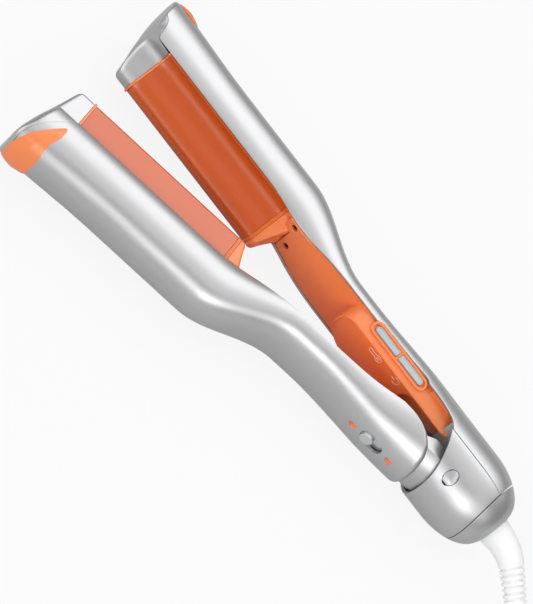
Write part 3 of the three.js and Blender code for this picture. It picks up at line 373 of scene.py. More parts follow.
def wave_line(proud=0.0, side=0.0, rise=lambda z: 0.0):
    """The jaw's profile from the foot of the valley side to the foot of the crest side."""
    half = PLATE_HALF + side
    wide = VALLEY_HALF + side
    radius = CREST_RADIUS
    edge = 0.5
    line = [(wide, PLATE_FOOT), (wide, wave(wide) + proud - edge)]
    for a in steps(0, pi / 2, 4):
        line.append((wide - edge + edge * cos(a), wave(wide) + proud + rise(wide) - edge + edge * sin(a)))
    for z in steps(wide - edge, -WAVE_RUN, 60)[1:]:
        line.append((z, wave(z) + valley_dip(z) + proud + rise(z)))
    top = wave(-half) + proud + rise(-half)
    for a in steps(pi / 2, pi, 10):
        line.append((-half + radius + radius * cos(a), top - radius + radius * sin(a)))
    line.append((-half, PLATE_FOOT))
    return [Vector((0, y, z)) for z, y in line]


# Modelling steps

def deselect():
    if bpy.context.object and bpy.context.object.mode != "OBJECT":
        bpy.ops.object.mode_set(mode="OBJECT")
    bpy.ops.object.select_all(action="DESELECT")


def activate(piece):
    deselect()
    piece.select_set(True)
    bpy.context.view_layer.objects.active = piece


def spread(name, rows, columns, place):
    """A grid whose points are laid over a surface; place gives the point at two shares."""
    deselect()
    bpy.ops.mesh.primitive_grid_add(x_subdivisions=rows, y_subdivisions=columns, size=1)
    piece = bpy.context.object
    piece.name = name
    piece.data.name = name
    for vertex in piece.data.vertices:
        vertex.co = place(vertex.co.x + 0.5, vertex.co.y + 0.5)
    return piece


def weld(piece, outward=True):
    """Closes seams and poles and, where asked, turns the faces outwards."""
    activate(piece)
    bpy.ops.object.mode_set(mode="EDIT")
    bpy.ops.mesh.select_all(action="SELECT")
    bpy.ops.mesh.remove_doubles(threshold=1e-6)
    bpy.ops.mesh.dissolve_degenerate(threshold=1e-7)
    if outward:
        bpy.ops.mesh.normals_make_consistent(inside=False)
    bpy.ops.object.mode_set(mode="OBJECT")
    return piece


def closed(name, rows, columns, place):
    """A closed piece spread over rows and columns."""
    return close_ends(weld(spread(name, rows, columns, place)))


def close_ends(piece):
    """Fills every open edge loop."""
    activate(piece)
    bpy.ops.object.mode_set(mode="EDIT")
    bpy.ops.mesh.select_all(action="DESELECT")
    bpy.ops.mesh.select_mode(type="EDGE")
    bpy.ops.mesh.select_non_manifold(extend=False)
    bpy.ops.mesh.edge_face_add()
    bpy.ops.mesh.select_all(action="SELECT")
    bpy.ops.mesh.normals_make_consistent(inside=False)
    bpy.ops.mesh.select_mode(type="VERT")
    bpy.ops.object.mode_set(mode="OBJECT")
    return piece


def modify(piece, kind, **settings):
    """Adds a modifier and applies it."""
    activate(piece)
    bpy.ops.object.modifier_add(type=kind)
    modifier = piece.modifiers[-1]
    for key, value in settings.items():
        setattr(modifier, key, value)
    bpy.ops.object.modifier_apply(modifier=modifier.name)
    return piece


def thicken(piece, wall):
    """Gives a surface a wall of even thickness, inwards."""
    return modify(piece, "SOLIDIFY", thickness=wall, offset=-1, use_even_offset=True)


def bevel(piece, width, segments, angle):
    """Rounds the edges that are sharper than an angle in degrees."""
    return modify(piece, "BEVEL", width=width, segments=segments, limit_method="ANGLE",
                  angle_limit=radians(angle))


def cut(piece, tool):
    """Cuts a tool's shape out of a piece and removes the tool."""
    modify(piece, "BOOLEAN", operation="DIFFERENCE", object=tool, solver="EXACT")
    bpy.data.objects.remove(tool)
    return piece


def settle(piece, body, slot, *nodes, angle=35, finish=None):
    """Gives a piece its shading, finish and body, and hides the nodes that it stands for.

    The finish is the slot's own unless another is named.
    """
    activate(piece)
    bpy.ops.object.shade_smooth_by_angle(angle=radians(angle))
    piece.data.materials.clear()
    piece.data.materials.append(MATERIALS[finish or slot])
    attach(piece, body)
    if nodes:
        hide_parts(*nodes)
    return piece


def refined(node, name, width, segments=3):
    """A merged copy of a solid, with its edges rounded by a width in millimetres."""
    source = frame["nodes"][node]
    deselect()
    piece = bpy.data.objects.new(name, source.data.copy())
    bpy.context.scene.collection.objects.link(piece)
    piece.data.materials.clear()
    activate(piece)
    bpy.ops.object.mode_set(mode="EDIT")
    bpy.ops.mesh.select_all(action="SELECT")
    bpy.ops.mesh.remove_doubles(threshold=2e-6)
    bpy.ops.mesh.dissolve_limited(angle_limit=radians(1))
    bpy.ops.object.mode_set(mode="OBJECT")
    return bevel(piece, width * MM, segments, 30)


def tube(name, path, radius, sides):
    """A closed tube along a path in millimetres; radius is a number or a function of the share."""
    size = radius if callable(radius) else lambda share: radius
    tangents = []
    for i, point in enumerate(path):
        ahead = path[min(i + 1, len(path) - 1)]
        behind = path[max(i - 1, 0)]
        tangents.append((ahead - behind).normalized())
    across = Vector((0, 0, 1)).cross(tangents[0]).normalized()
    frames = []
    for tangent in tangents:
        across = (across - tangent * across.dot(tangent)).normalized()
        frames.append((across.copy(), tangent.cross(across).normalized()))
    count = len(path) - 1

    def place(u, v):
        i = min(round(u * count), count)
        a, b = frames[i]
        angle = 2 * pi * v
        reach = size(i / count)
        return (ORIGIN + path[i] + a * (reach * cos(angle)) + b * (reach * sin(angle))) * MM

    return closed(name, count, sides, place)


def catmull(points, gap):
    """Points about gap apart on the centripetal curve through a list of points."""
    points = [Vector(p) for p in points]
    points = [points[0] * 2 - points[1], *points, points[-1] * 2 - points[-2]]
    line = []
    for p0, p1, p2, p3 in zip(points, points[1:], points[2:], points[3:]):
        t1 = max((p1 - p0).length, 1e-6) ** 0.5
        t2 = t1 + max((p2 - p1).length, 1e-6) ** 0.5
        t3 = t2 + max((p3 - p2).length, 1e-6) ** 0.5
        count = max(2, round((p2 - p1).length / gap))
        for i in range(count):
            t = mix(t1, t2, i / count)
            a1 = p0.lerp(p1, t / t1)
            a2 = p1.lerp(p2, (t - t1) / (t2 - t1))
            a3 = p2.lerp(p3, (t - t2) / (t3 - t2))
            b1 = a1.lerp(a2, t / t2)
            b2 = a2.lerp(a3, (t - t1) / (t3 - t1))
            line.append(b1.lerp(b2, (t - t1) / (t2 - t1)))
    return [*line, points[-2]]


# Materials

def add_node(tree, kind, settings=None, links=None):
    """Adds a node with its settings and the links into it."""
    node = tree.nodes.new(kind)
    for key, value in (settings or {}).items():
        if hasattr(node, str(key)):
            setattr(node, key, value)
        else:
            node.inputs[key].default_value = value
    for key, source in (links or {}).items():
        tree.links.new(source, node.inputs[key])
    return node


def per_metre(millimetres):
    """Noise scale for features of a size in millimetres."""
    return 1 / (millimetres * MM)


def mottle(tree, shader, position, size_mm, low, high):
    """Varies the roughness a little over patches of a real size."""
    noise = add_node(tree, "ShaderNodeTexNoise", {"Scale": per_metre(size_mm), "Detail": 3.0},
                     {"Vector": position})
    spread_out = add_node(tree, "ShaderNodeMapRange",
                          {"From Min": 0.1, "From Max": 0.9, "To Min": low, "To Max": high},
                          {"Value": noise.outputs["Fac"]})
    tree.links.new(spread_out.outputs["Result"], shader.inputs["Roughness"])


def grain(tree, shader, position, size_mm, depth_mm, strength):
    """A fine bump of a real size and depth."""
    noise = add_node(tree, "ShaderNodeTexNoise", {"Scale": per_metre(size_mm), "Detail": 2.0},
                     {"Vector": position})
    bump = add_node(tree, "ShaderNodeBump", {"Strength": strength, "Distance": depth_mm * MM},
                    {"Height": noise.outputs["Fac"]})
    tree.links.new(bump.outputs["Normal"], shader.inputs["Normal"])


def tone(tree, shader, position, base, size_mm, amount):
    """Shifts the colour a little over patches of a real size."""
    noise = add_node(tree, "ShaderNodeTexNoise", {"Scale": per_metre(size_mm), "Detail": 2.0},
                     {"Vector": position})
    ramp = add_node(tree, "ShaderNodeValToRGB", {}, {"Fac": noise.outputs["Fac"]})
    ramp.color_ramp.elements[0].position = 0.1
    ramp.color_ramp.elements[1].position = 0.9
    for element, factor in zip(ramp.color_ramp.elements, (1 - amount, 1 + amount)):
        element.color = [min(c * factor, 1) for c in base[:3]] + [1]
    tree.links.new(ramp.outputs["Color"], shader.inputs["Base Color"])


def finish(name, base, settings, patches, roughness, grains=None):
    """A material whose tone and roughness vary over patches and, where it has one, a fine grain.

    patches: size in mm and share of the colour; roughness: size in mm, lowest and highest;
    grains: size and depth in mm, and strength.
    """
    material = bpy.data.materials.new(name)
    material.use_nodes = True
    tree = material.node_tree
    shader = tree.nodes["Principled BSDF"]
    for key, value in settings.items():
        shader.inputs[key].default_value = value
    position = add_node(tree, "ShaderNodeTexCoord").outputs["Object"]
    tone(tree, shader, position, base, *patches)
    mottle(tree, shader, position, *roughness)
    if grains:
        grain(tree, shader, position, *grains)
    return material


def plain_finish(name, hex_colour, metallic, low, high, size_mm):
    """A finish of a small piece, or of one that hardly shows."""
    return finish(name, linear(hex_colour), {"Metallic": metallic}, (size_mm, 0.05), (size_mm, low, high),
                  (0.4, 0.02, 0.2))


MATERIALS = {}


def make_materials():
    colours = bpy.context.scene.waver_colours
    MATERIALS.update({
        # Injection-moulded ABS under pearl silver lacquer: soft metallic sheen with a clear coat over it.
        # Flakes are about 0.05 mm; drawn at 0.35 mm so that they show in the render
        "silver_casing": finish(
            "silver_lacquered_abs", colours.silver,
            {"Metallic": 0.85, "Coat Weight": 0.1, "Coat Roughness": 0.2, "IOR": 1.5},
            (30, 0.015), (18, 0.38, 0.41), (0.35, 0.02, 0.12)),
        # Coloured ABS from a spark-eroded mould: satin, with a very fine even grain
        "orange_shell": finish(
            "orange_satin_abs", colours.orange, {"Specular IOR Level": 0.6, "IOR": 1.53},
            (22, 0.03), (9, 0.26, 0.32), (0.4, 0.02, 0.2)),
        # Heat resistant nylon trim: deeper orange and a little glossier than the covers
        "dark_orange_trim": finish(
            "orange_heatproof_nylon", colours.trim, {"IOR": 1.53},
            (12, 0.03), (6, 0.26, 0.34), (0.3, 0.015, 0.15)),
        # Milled aluminium under a baked ceramic coating: smooth, dense colour and long soft highlights
        "coated_plate": finish(
            "ceramic_coated_aluminium", colours.plate,
            {"Specular IOR Level": 0.2, "Coat Weight": 0.8, "Coat Roughness": 0.18, "Coat IOR": 1.6},
            (60, 0.012), (30, 0.3, 0.32), (0.5, 0.01, 0.04)),
        # Blue-grey moulded ABS keys: satin with soft edges
        "grey_button": finish(
            "grey_satin_abs", colours.button, {"IOR": 1.53},
            (8, 0.03), (5, 0.3, 0.38), (0.3, 0.015, 0.2)),
        # White flexible PVC: soft, slightly waxy and a little see-through at its surface
        "white_cord": finish(
            "white_flexible_pvc", colours.cord,
            {"IOR": 1.52, "Subsurface Weight": 0.08, "Subsurface Scale": 0.002},
            (25, 0.015), (7, 0.42, 0.52), (0.5, 0.02, 0.2)),
        # Pad-printed ink: flat and matt
        "mark": finish("pale_pad_print_ink", colours.mark, {"IOR": 1.48}, (4, 0.02), (2, 0.45, 0.55)),
        "lock_mark": finish("orange_pad_print_ink", colours.lock_mark, {"IOR": 1.48},
                            (4, 0.02), (2, 0.45, 0.55)),
        # Moulded plastics: lacquered silver with a satin sheen, then plain satin to matt ones
        "lock_silver": plain_finish("silver_satin_abs", "#C4C6C8", 0.6, 0.34, 0.4, 6),
        "mouth_grey": plain_finish("grey_moulded_abs", "#B4B5B7", 0.0, 0.4, 0.5, 6),
        "black_plastic": plain_finish("black_nylon", "#232426", 0.0, 0.4, 0.5, 4),
        "heat_frame": plain_finish("beige_heatproof_plastic", "#D8CFB8", 0.0, 0.5, 0.6, 4),
        # Metals: bright turned steel, screws coloured dark brown as painted shade of their holes, warm stamped
        # brass, dull extruded aluminium
        "steel": plain_finish("turned_steel", "#B4B6B9", 1.0, 0.28, 0.4, 3),
        # Dark brown stands in for the shade down the screw holes: painted shade, not the steel's own colour
        "shade_darkened_screw": plain_finish("steel_darkened_for_hole_shade", "#5A3A2C", 0.8, 0.35, 0.45, 2),
        "brass": plain_finish("stamped_brass", "#C9A65A", 1.0, 0.25, 0.35, 3),
        "heater_body": plain_finish("extruded_aluminium", "#A9A59C", 1.0, 0.4, 0.5, 4),
        # Glass fibre board under green solder resist: satin
        "board": plain_finish("green_circuit_board", "#2F6B46", 0.0, 0.4, 0.5, 5),
    })


# Pieces

def casing_place(arm, columns):
    """The point of a casing at a share of its length and of the way round."""
    lip = 3.0
    wall = 5
    # Shares of the rows that the front arm's inner wall and lip, the tail and the jaw end at
    wall_share, lip_share, tail_share, jaw_share = 0.012, 0.06, 0.25, 0.85
    front = arm is FRONT
    ends = []
    for k in range(columns + 1):
        w = k / columns
        ends.append((meet(arm, w, 55, arm.start), meet(arm, w, 300, lambda y: nose_edge(y, w > 0.5))))

    def place(u, w):
        start, nose = ends[round(w * columns)]
        out = 0.0
        if front and u < lip_share:
            turn = max(u - wall_share, 0) / (lip_share - wall_share) * pi / 2
            x = start + lip * (1 - cos(turn))
            out = -lip * (1 - sin(turn)) if u >= wall_share else -lip - wall * (1 - u / wall_share)
        elif u < tail_share:
            first, low = (start + lip, lip_share) if front else (start, 0)
            x = mix(first, TAIL_BEND, (u - low) / (tail_share - low))
        elif u < jaw_share:
            x = mix(TAIL_BEND, NOSE_BEND, (u - tail_share) / (jaw_share - tail_share))
        else:
            x = mix(NOSE_BEND, nose, (u - jaw_share) / (1 - jaw_share))
        return laid(arm.place, *arm.skin(x, arm.turn(x, w), out))

    return place


def make_casing(arm, sizes):
    """The moulded silver shell of one arm, open towards the other arm."""
    columns = sizes.casing_columns
    piece = spread(f"{arm.name}_casing", sizes.casing_rows, columns, casing_place(arm, columns))
    thicken(piece, sizes.casing_wall)
    if arm is FRONT:
        cut(piece, slot_tool())
    bevel(piece, sizes.rim_round, 4, 50)
    return settle(piece, arm.body, "silver_casing", f"{arm.name}_shell", angle=40)


def slot_tool():
    """A long round-ended tool that cuts the lock's slot through the back of the front arm."""
    x0, x1, radius = 72.4, 78.4, 4.1
    low, high = -40, -18

    def place(u, v):
        angle = 2 * pi * v
        centre = x1 if cos(angle) >= 0 else x0
        y = mix(low, high, u)
        return laid(FRONT.place, centre + radius * cos(angle), y, LOCK_Z + radius * sin(angle))

    return closed("lock_slot_tool", 1, 40, place)


def end_cap_line(arm):
    """The tip's outline: round the back of the casing, then over the wave to the valley's edge."""
    x, under_rim, under_skin = 296, 0.12, 0.2
    near = arm.angle_at(x, -JAW_RIM - under_rim)
    back = [arm.skin(x, angle, -under_skin) for angle in steps(near, -pi - near, 96)]
    top = [Vector((0, wave(p.z) if p.z > -WAVE_RUN else p.y, p.z)) for p in reversed(wave_line()[1:-1])
           if p.z < WAVE_RUN - 0.1]
    flat = [Vector((0, -JAW_RIM, z)) for z in steps(WAVE_RUN, FILLET_CORNER[0] - 1.5, 10)]
    foot = Vector((0, -JAW_RIM, -PLATE_HALF))
    outline = [Vector((0, p.y, p.z)) for p in (*back, foot, *top, *flat)]
    return outline + [outline[0].copy()], len(back)


def nose_x(y, z):
    return between(NOSE_PROFILE, y) - NOSE_DOME * (z / JAW_HALF) ** 2


def filleted(p, x):
    """Rounds off the edge between the valley and the side of the tip cap."""
    wide, tall = between(FILLET_WIDE, x), between(FILLET_TALL, x)
    corner_z, corner_y = FILLET_CORNER
    if p.z < corner_z - wide or p.y < corner_y - tall or p.z < WAVE_RUN * 0.5:
        return p
    over = (corner_z - p.z) / wide if p.y > corner_y - 0.1 else (corner_y - p.y) / tall
    # A round corner stands back from a sharp one by about this share of its radius
    stand_back = 0.293
    share = stand_back * (1 - clamp(over)) ** 1.7
    return Vector((p.x, p.y - share * tall, p.z - share * wide))


def make_end_cap(arm, sizes):
    """The silver tip piece: it carries the wave on and closes the arm with a rounded, slanted face."""
    outline, back_count = end_cap_line(arm)
    columns = len(outline) - 1
    largest = sizes.nose_round / MM
    heart = Vector((0, -16, 0))
    wave_start = PLATE_END + 1.5
    edge_turns = steps(0, pi / 2, 3)
    sides = steps(0, 1, 9)[1:]
    nose_turns = steps(0, pi / 2, 8)[1:]
    scales = [0.82, 0.66, 0.5, 0.34, 0.18, 0.0]
    rows = 1 + len(edge_turns) + len(sides) + len(nose_turns) + len(scales) - 1
    edge_round = 0.12

    def inset(p, amount):
        return heart + (p - heart) * (1 - amount / (p - heart).length)

    def place(u, v):
        k = round(u * rows)
        column = round(v * columns)
        p = outline[column]
        start = nose_edge(p.y, p.z > 0) + 0.1 if column < back_count or column == columns else wave_start
        end = nose_x(p.y, p.z)
        radius = min(largest, 0.85 * (end - start))
        if k <= len(edge_turns):
            turn = edge_turns[max(k - 1, 0)]
            x = start + (edge_round * (1 - cos(turn)) if k else 0)
            q = inset(filleted(p, x), edge_round * (1 - sin(turn)) if k else 1.6)
        elif k <= len(edge_turns) + len(sides):
            x = mix(start + edge_round, end - radius, sides[k - len(edge_turns) - 1])
            q = filleted(p, x)
        elif k <= rows - len(scales):
            turn = nose_turns[k - len(edge_turns) - len(sides) - 1]
            x = end - radius * (1 - sin(turn))
            q = inset(filleted(p, x), radius * (1 - cos(turn)))
        else:
            rim = inset(filleted(p, end), radius)
            q = heart + (rim - heart) * scales[k - rows + len(scales) - 1]
            x = mix(nose_x(q.y, q.z), end, ((q - heart).length / (rim - heart).length) ** 4)
        return laid(arm.place, x, q.y, q.z)

    piece = closed(f"{arm.name}_tip_cap", rows, columns, place)
    return settle(piece, arm.body, "silver_casing", f"{arm.name}_end_cap", angle=50)


def make_accent(arm, sizes):
    """The orange inlay that wraps the back of the tip, creased along its middle."""
    proud = sizes.accent_proud / MM
    middle = 299
    far_height, near_height = -18.7, -35
    first = -pi - arm.angle_at(middle, far_height)
    last = arm.angle_at(middle, near_height)
    crease = 0.52

    def place(u, v):
        angle = mix(first, last, v)
        y = arm.skin(middle, angle).y
        x = mix(between(ACCENT_ROOT_EDGE, y), between(ACCENT_TIP_EDGE, y), u)
        ridge = 1 - abs(u - crease) / (crease if u < crease else 1 - crease)
        width = between(ACCENT_TIP_EDGE, y) - between(ACCENT_ROOT_EDGE, y)
        out = proud * (0.3 + ridge) * smooth(0, 7, width)
        out += proud * smooth(0.5, 0.85, v) * (1 - smooth(0.94, 1, v)) * sin(pi * u) ** 0.5
        return laid(arm.place, *arm.skin(x, angle, out))

    piece = spread(f"{arm.name}_accent", 16, 90, place)
    modify(piece, "SOLIDIFY", thickness=0.9 * MM, offset=-1)
    return settle(piece, arm.body, "orange_shell", f"{arm.name}_tip_accent", angle=14)


def jaw_strip(arm, name, start, end, wall, rows, edge, line):
    """A strip of the jaw between two places along it, with its wall and edge round in metres."""
    count = 110
    points = even_line(line, count)

    def place(u, v):
        p = points[round(v * count)]
        return laid(arm.place, mix(start, end, u), p.y, p.z)

    return bevel(thicken(spread(f"{arm.name}_{name}", rows, count, place), wall), edge, 3, 60)


def make_jaw(arm, sizes):
    """The wave plate with its band at the root and its lip at the tip."""
    plate = jaw_strip(arm, "wave_plate", PLATE_START, PLATE_END, sizes.plate_wall, 24, 0.3 * MM, wave_line())
    settle(plate, arm.body, "coated_plate", f"{arm.name}_plate", angle=40)
    end = PLATE_START - 0.15
    line = wave_line(0.22, 0.2)
    band = jaw_strip(arm, "band", end - BAND_WIDTH, end, 1.6 * MM, 4, 0.25 * MM, line)
    settle(band, arm.body, "dark_orange_trim", f"{arm.name}_root_band", angle=40)
    start = PLATE_END + 0.15
    line = wave_line(0.1, 0.15, lambda z: 0.75 * smooth(1, -7, z))
    lip = jaw_strip(arm, "lip", start, start + 1.2, 1.4 * MM, 3, 0.3 * MM, line)
    settle(lip, arm.body, "dark_orange_trim", f"{arm.name}_tip_lip", angle=40, finish="orange_shell")


def make_root_block(arm):
    """The orange block between plate and handle: wave-shaped on top, with a slanted, rounded end."""
    outline = even_line([*wave_line(), wave_line()[0]], 150)
    columns = len(outline) - 1
    heart = Vector((0, -12.6, -1))
    start = PLATE_START - BAND_WIDTH - 0.3
    sides = steps(0, 1, 4)
    turns = steps(0, pi / 2, 8)[1:]
    scales = steps(1, 0, 6)[1:]
    rows = len(sides) + len(turns) + len(scales) - 1

    def end_x(y):
        share = max(y - PLATE_FOOT, 0) ** 0.6 / (WAVE_HEIGHT - PLATE_FOOT) ** 0.6
        return mix(ROOT_FOOT_X, ROOT_CREST_X, share)

    def inset(p, amount):
        return heart + (p - heart) * (1 - min(amount / max((p - heart).length, 0.1), 0.6))

    def place(u, v):
        k = round(u * rows)
        p = outline[round(v * columns) % columns]
        radius = min(3.2, 0.75 * (start - end_x(p.y)))
        if k < len(sides):
            x, q = mix(start, end_x(p.y) + radius, sides[k]), p
        elif k < len(sides) + len(turns):
            turn = turns[k - len(sides)]
            q = inset(p, radius * (1 - cos(turn)))
            x = end_x(p.y) + radius * (1 - sin(turn))
        else:
            q = heart + (inset(p, radius) - heart) * scales[k - len(sides) - len(turns)]
            x = end_x(p.y + (q.y - p.y) * 0.5)
        return laid(arm.place, x, q.y, q.z)

    piece = closed(f"{arm.name}_root_cover", rows, columns, place)
    return settle(piece, arm.body, "orange_shell", f"{arm.name}_root_block", angle=50)


def make_inner_panel(arm):
    """The orange cover inside the handle, with its edges rounded."""
    piece = refined(f"{arm.name}_inner_panel", f"{arm.name}_panel", 0.35)
    return settle(piece, arm.body, "orange_shell", f"{arm.name}_inner_panel")


def console_outline(level):
    """The console's plan at its foot (level 0) or top (level 1), as x and z."""
    near = mix(17.2, 14.2, level)
    far = mix(-15, -11.5, level)
    nose_end = mix(133.4, 132.8, level)
    nose = []
    for a in steps(pi / 2, -pi / 2, 40):
        half, power = (near - CONSOLE_MIDDLE, 0.52) if a > 0 else (CONSOLE_MIDDLE - far, 1.1)
        x = mix(CONSOLE_NOSE, nose_end, abs(cos(a)) ** power)
        nose.append((x, CONSOLE_MIDDLE + half * signed(sin(a), power)))
    near_line = [(x, near) for x in steps(CONSOLE_TAIL, CONSOLE_NOSE, 24)[:-1]]
    far_line = [(x, far) for x in steps(CONSOLE_NOSE, mix(80, 77, level), 12)[1:]]
    return near_line + nose + far_line + [(CONSOLE_TAIL, mix(1, 3, level))]


def pocket_tool():
    """A tool with a round plan and a rounded floor, for the recess that takes the lock's hook."""
    x0, x1, z0, z1, corner = 30, 83, -7.5, 13, 9
    floor, edge = -4.6, 2.2
    corners = ((x1 - corner, z1 - corner, 0), (x0 + corner, z1 - corner, 90),
               (x0 + corner, z0 + corner, 180), (x1 - corner, z0 + corner, 270))
    plan = [(x, z, radians(first + a)) for x, z, first in corners for a in steps(0, 90, 12)]
    columns = len(plan)
    rows = [(0, 8)] + [(edge * (1 - cos(a)), floor + edge * (1 - sin(a))) for a in steps(0, pi / 2, 6)]

    def place(u, v):
        inset, y = rows[round(u * (len(rows) - 1))]
        x, z, a = plan[round(v * columns) % columns]
        reach = corner - inset
        return laid(BASE.place, x + reach * cos(a), y, z + reach * sin(a))

    return closed("pocket_tool", len(rows) - 1, columns, place)


def make_console():
    """The raised control console with the recess beside the hinge."""
    foot_y, top_y = -HANDLE_RIM - 2, 1.5
    count = 150
    loops = []
    for level in (0, 1):
        outline = console_outline(level)
        loops.append(even_line([Vector((x, 0, z)) for x, z in (*outline, outline[0])], count))

    def place(u, v):
        low, high = loops[0][round(v * count)], loops[1][round(v * count)]
        p = low.lerp(high, u)
        return laid(BASE.place, p.x, mix(foot_y, top_y, u), p.z)

    piece = closed("console", 1, count, place)
    cut(piece, pocket_tool())
    bevel(piece, 0.75 * MM, 4, 30)
    piece = joined("console", [piece, console_ridge(top_y)])
    return settle(piece, "base_arm", "orange_shell", "control_console", angle=40)


def console_ridge(top_y):
    """A rounded rib along the top edge, from the tail round the nose, fading at both ends."""
    path = []
    for x, z in console_outline(1)[:54]:
        x -= 0.05 * max(x - CONSOLE_NOSE, 0)
        path.append(Vector((x, top_y - 0.25, mix(CONSOLE_MIDDLE, z, 0.93))))
    path[0].x += 0.9

    def radius(share):
        return mix(0.25, 0.85, smooth(0, 0.03, share) * (1 - smooth(0.9, 1, share)))

    return tube("console_ridge", even_line(path, 200), radius, 16)


def stroke(name, points, radius, place):
    """A thin printed line through points in millimetres, as a mesh."""
    deselect()
    line = bpy.data.curves.new(name, "CURVE")
    line.dimensions = "3D"
    line.bevel_depth = radius * MM
    line.bevel_resolution = 2
    line.use_fill_caps = True
    spline = line.splines.new("POLY")
    spline.points.add(len(points) - 1)
    for target, point in zip(spline.points, points):
        target.co = (*laid(place, *point), 1)
    piece = bpy.data.objects.new(name, line)
    bpy.context.scene.collection.objects.link(piece)
    activate(piece)
    bpy.ops.object.convert(target="MESH")
    return weld(bpy.context.object)


def joined(name, pieces):
    activate(pieces[0])
    for piece in pieces[1:]:
        piece.select_set(True)
    bpy.ops.object.join()
    piece = bpy.context.object
    piece.name = name
    return piece


def make_symbols():
    """A thermometer and a power sign beside the two keys, and a lock at each end of the slot."""
    height = 1.48
    middle = 9.6

    def ring(x, radius, first, last, count=24):
        return [(x + radius * cos(a), height, middle + radius * sin(a))
                for a in steps(radians(first), radians(last), count)]

    stem = [(105.2, height, 10.65), *ring(109.4, 1.05, 90, -90, 10), (105.2, height, 8.55)]
    lines = {
        "bulb": ring(103.5, 2.1, 30, 330), "stem": stem, "drop": ring(103.5, 0.85, 0, 360, 12),
        "power_ring": ring(89.5, 2.3, 55, 305), "power_bar": [(90, height, middle), (92.6, height, middle)],
    }
    marks = joined("console_symbols", [stroke(name, line, 0.26, BASE.place) for name, line in lines.items()])
    settle(marks, "base_arm", "orange_shell", finish="mark")
    locks = []
    for x, z in ((62.0, -2.6), (87.4, -1.2)):
        bow = [(x + 1.3 + 1.5 * sin(a), back_height(x, z) - 0.02, z + cos(a)) for a in steps(0, pi, 10)]
        locks += [lock_body(x, z), stroke("lock_bow", bow, 0.2, FRONT.place)]
    settle(joined("lock_symbols", locks), "front_arm", "orange_shell", finish="lock_mark")


def back_height(x, z):
    """The height of the front arm's back over a place on it."""
    centre, half, depth, power = FRONT.section(x)
    return centre - depth * (1 - abs(z / half) ** power) ** (1 / power)


def lock_body(x, z):
    """The filled body of a lock symbol, laid on the front arm's back."""
    def place(u, v):
        a, b = x + mix(-1.4, 1.3, u), z + mix(-1.5, 1.5, v)
        return laid(FRONT.place, a, back_height(a, b) - 0.05, b)

    return modify(spread("lock_body", 6, 6, place), "SOLIDIFY", thickness=0.08 * MM, offset=0)


def bar_outline(x0, x1, half, inset, square=0):
    """A bar's plan about the middle of the key frame, round at its ends or square at one of them."""
    points = []
    for centre, first, flat in ((x1 - half, -90, square > 0), (x0 + half, 90, square < 0)):
        for a in steps(first, first + 180, 24):
            c, n = cos(radians(a)), sin(radians(a))
            power = 0.22 if flat else 1
            reach = half - inset
            points.append((centre + reach * signed(c, power), reach * signed(n, power)))
    return points


def stacked(name, levels, place):
    """A closed piece from plans of the same number of points at a list of heights."""
    columns = len(levels[0][0])

    def at(u, v):
        plan, height = levels[round(u * (len(levels) - 1))]
        return laid(place, *plan[round(v * columns) % columns], height)

    return closed(name, len(levels) - 1, columns, at)


def make_keys():
    """The key frame with its groove, and the two keys with a raised rim round their middle."""
    middle, frame_half, key_half = 1.65, 3.85, 1.75
    place = FACET_PLACE @ Matrix.Translation((0, middle, 0))
    # Each level is an inset from the outline and a height
    frame_levels = ((0, -3), (0, 0.7), (0.15, 1.05), (0.5, 1.3), (1.15, 1.3), (1.3, 1.2), (1.35, 0.95),
                    (1.5, 0.95), (1.6, 1.15), (1.75, 1.15), (1.85, 0.9), (1.85, -0.2))
    key_levels = ((0, -3), (0, 1.5), (0.1, 1.8), (0.35, 1.98), (0.6, 1.9), (0.7, 1.72))

    def bar(name, x0, x1, half, levels, square=0):
        plans = [(bar_outline(x0, x1, half, inset, square), height) for inset, height in levels]
        return stacked(name, plans, place)

    plan = [(97.75, -2.1), (98.95, -2.1), (98.95, 2.1), (97.75, 2.1)]
    ring = bar("key_frame", 77, 119.5, frame_half, frame_levels)
    bridge = stacked("bridge", [(plan, -0.2), (plan, 1.1)], place)
    settle(joined("key_frame", [ring, bridge]), "base_arm", "orange_shell", "button_bezel", angle=30)
    for node, name, body, x0, x1, square in (
        ("power_button", "power_key_cap", "power_key", 80.2, 97.6, 1),
        ("temp_button", "temperature_key", "temp_key", 99.1, 116.4, -1),
    ):
        key = bar(name, x0, x1, key_half, key_levels, square)
        settle(key, body, "grey_button", node, angle=30)


def make_slider():
    """The lock slider with its edges rounded, and the cover that moves with it."""
    piece = refined("lock_slider", "lock_thumb_piece", 0.4)
    piece = joined("lock_thumb_piece", [piece, lock_cover()])
    settle(piece, "lock_key", "grey_button", "lock_slider", finish="lock_silver")


def lock_cover():
    """The slider's own thin plate that closes the slot from inside wherever it stands."""
    def place(u, v):
        x, z = mix(62, 95, u), LOCK_Z + mix(-6, 6, v)
        return laid(FRONT.place, x, back_height(x, z) + 3.1, z)

    return modify(spread("lock_cover", 24, 12, place), "SOLIDIFY", thickness=0.6 * MM, offset=0)


def mouth_x(y):
    share = max(1 - (y - TAIL_Y) / TAIL_RADIUS, 0)
    return MOUTH_TOP + MOUTH_REACH * share ** MOUTH_POWER


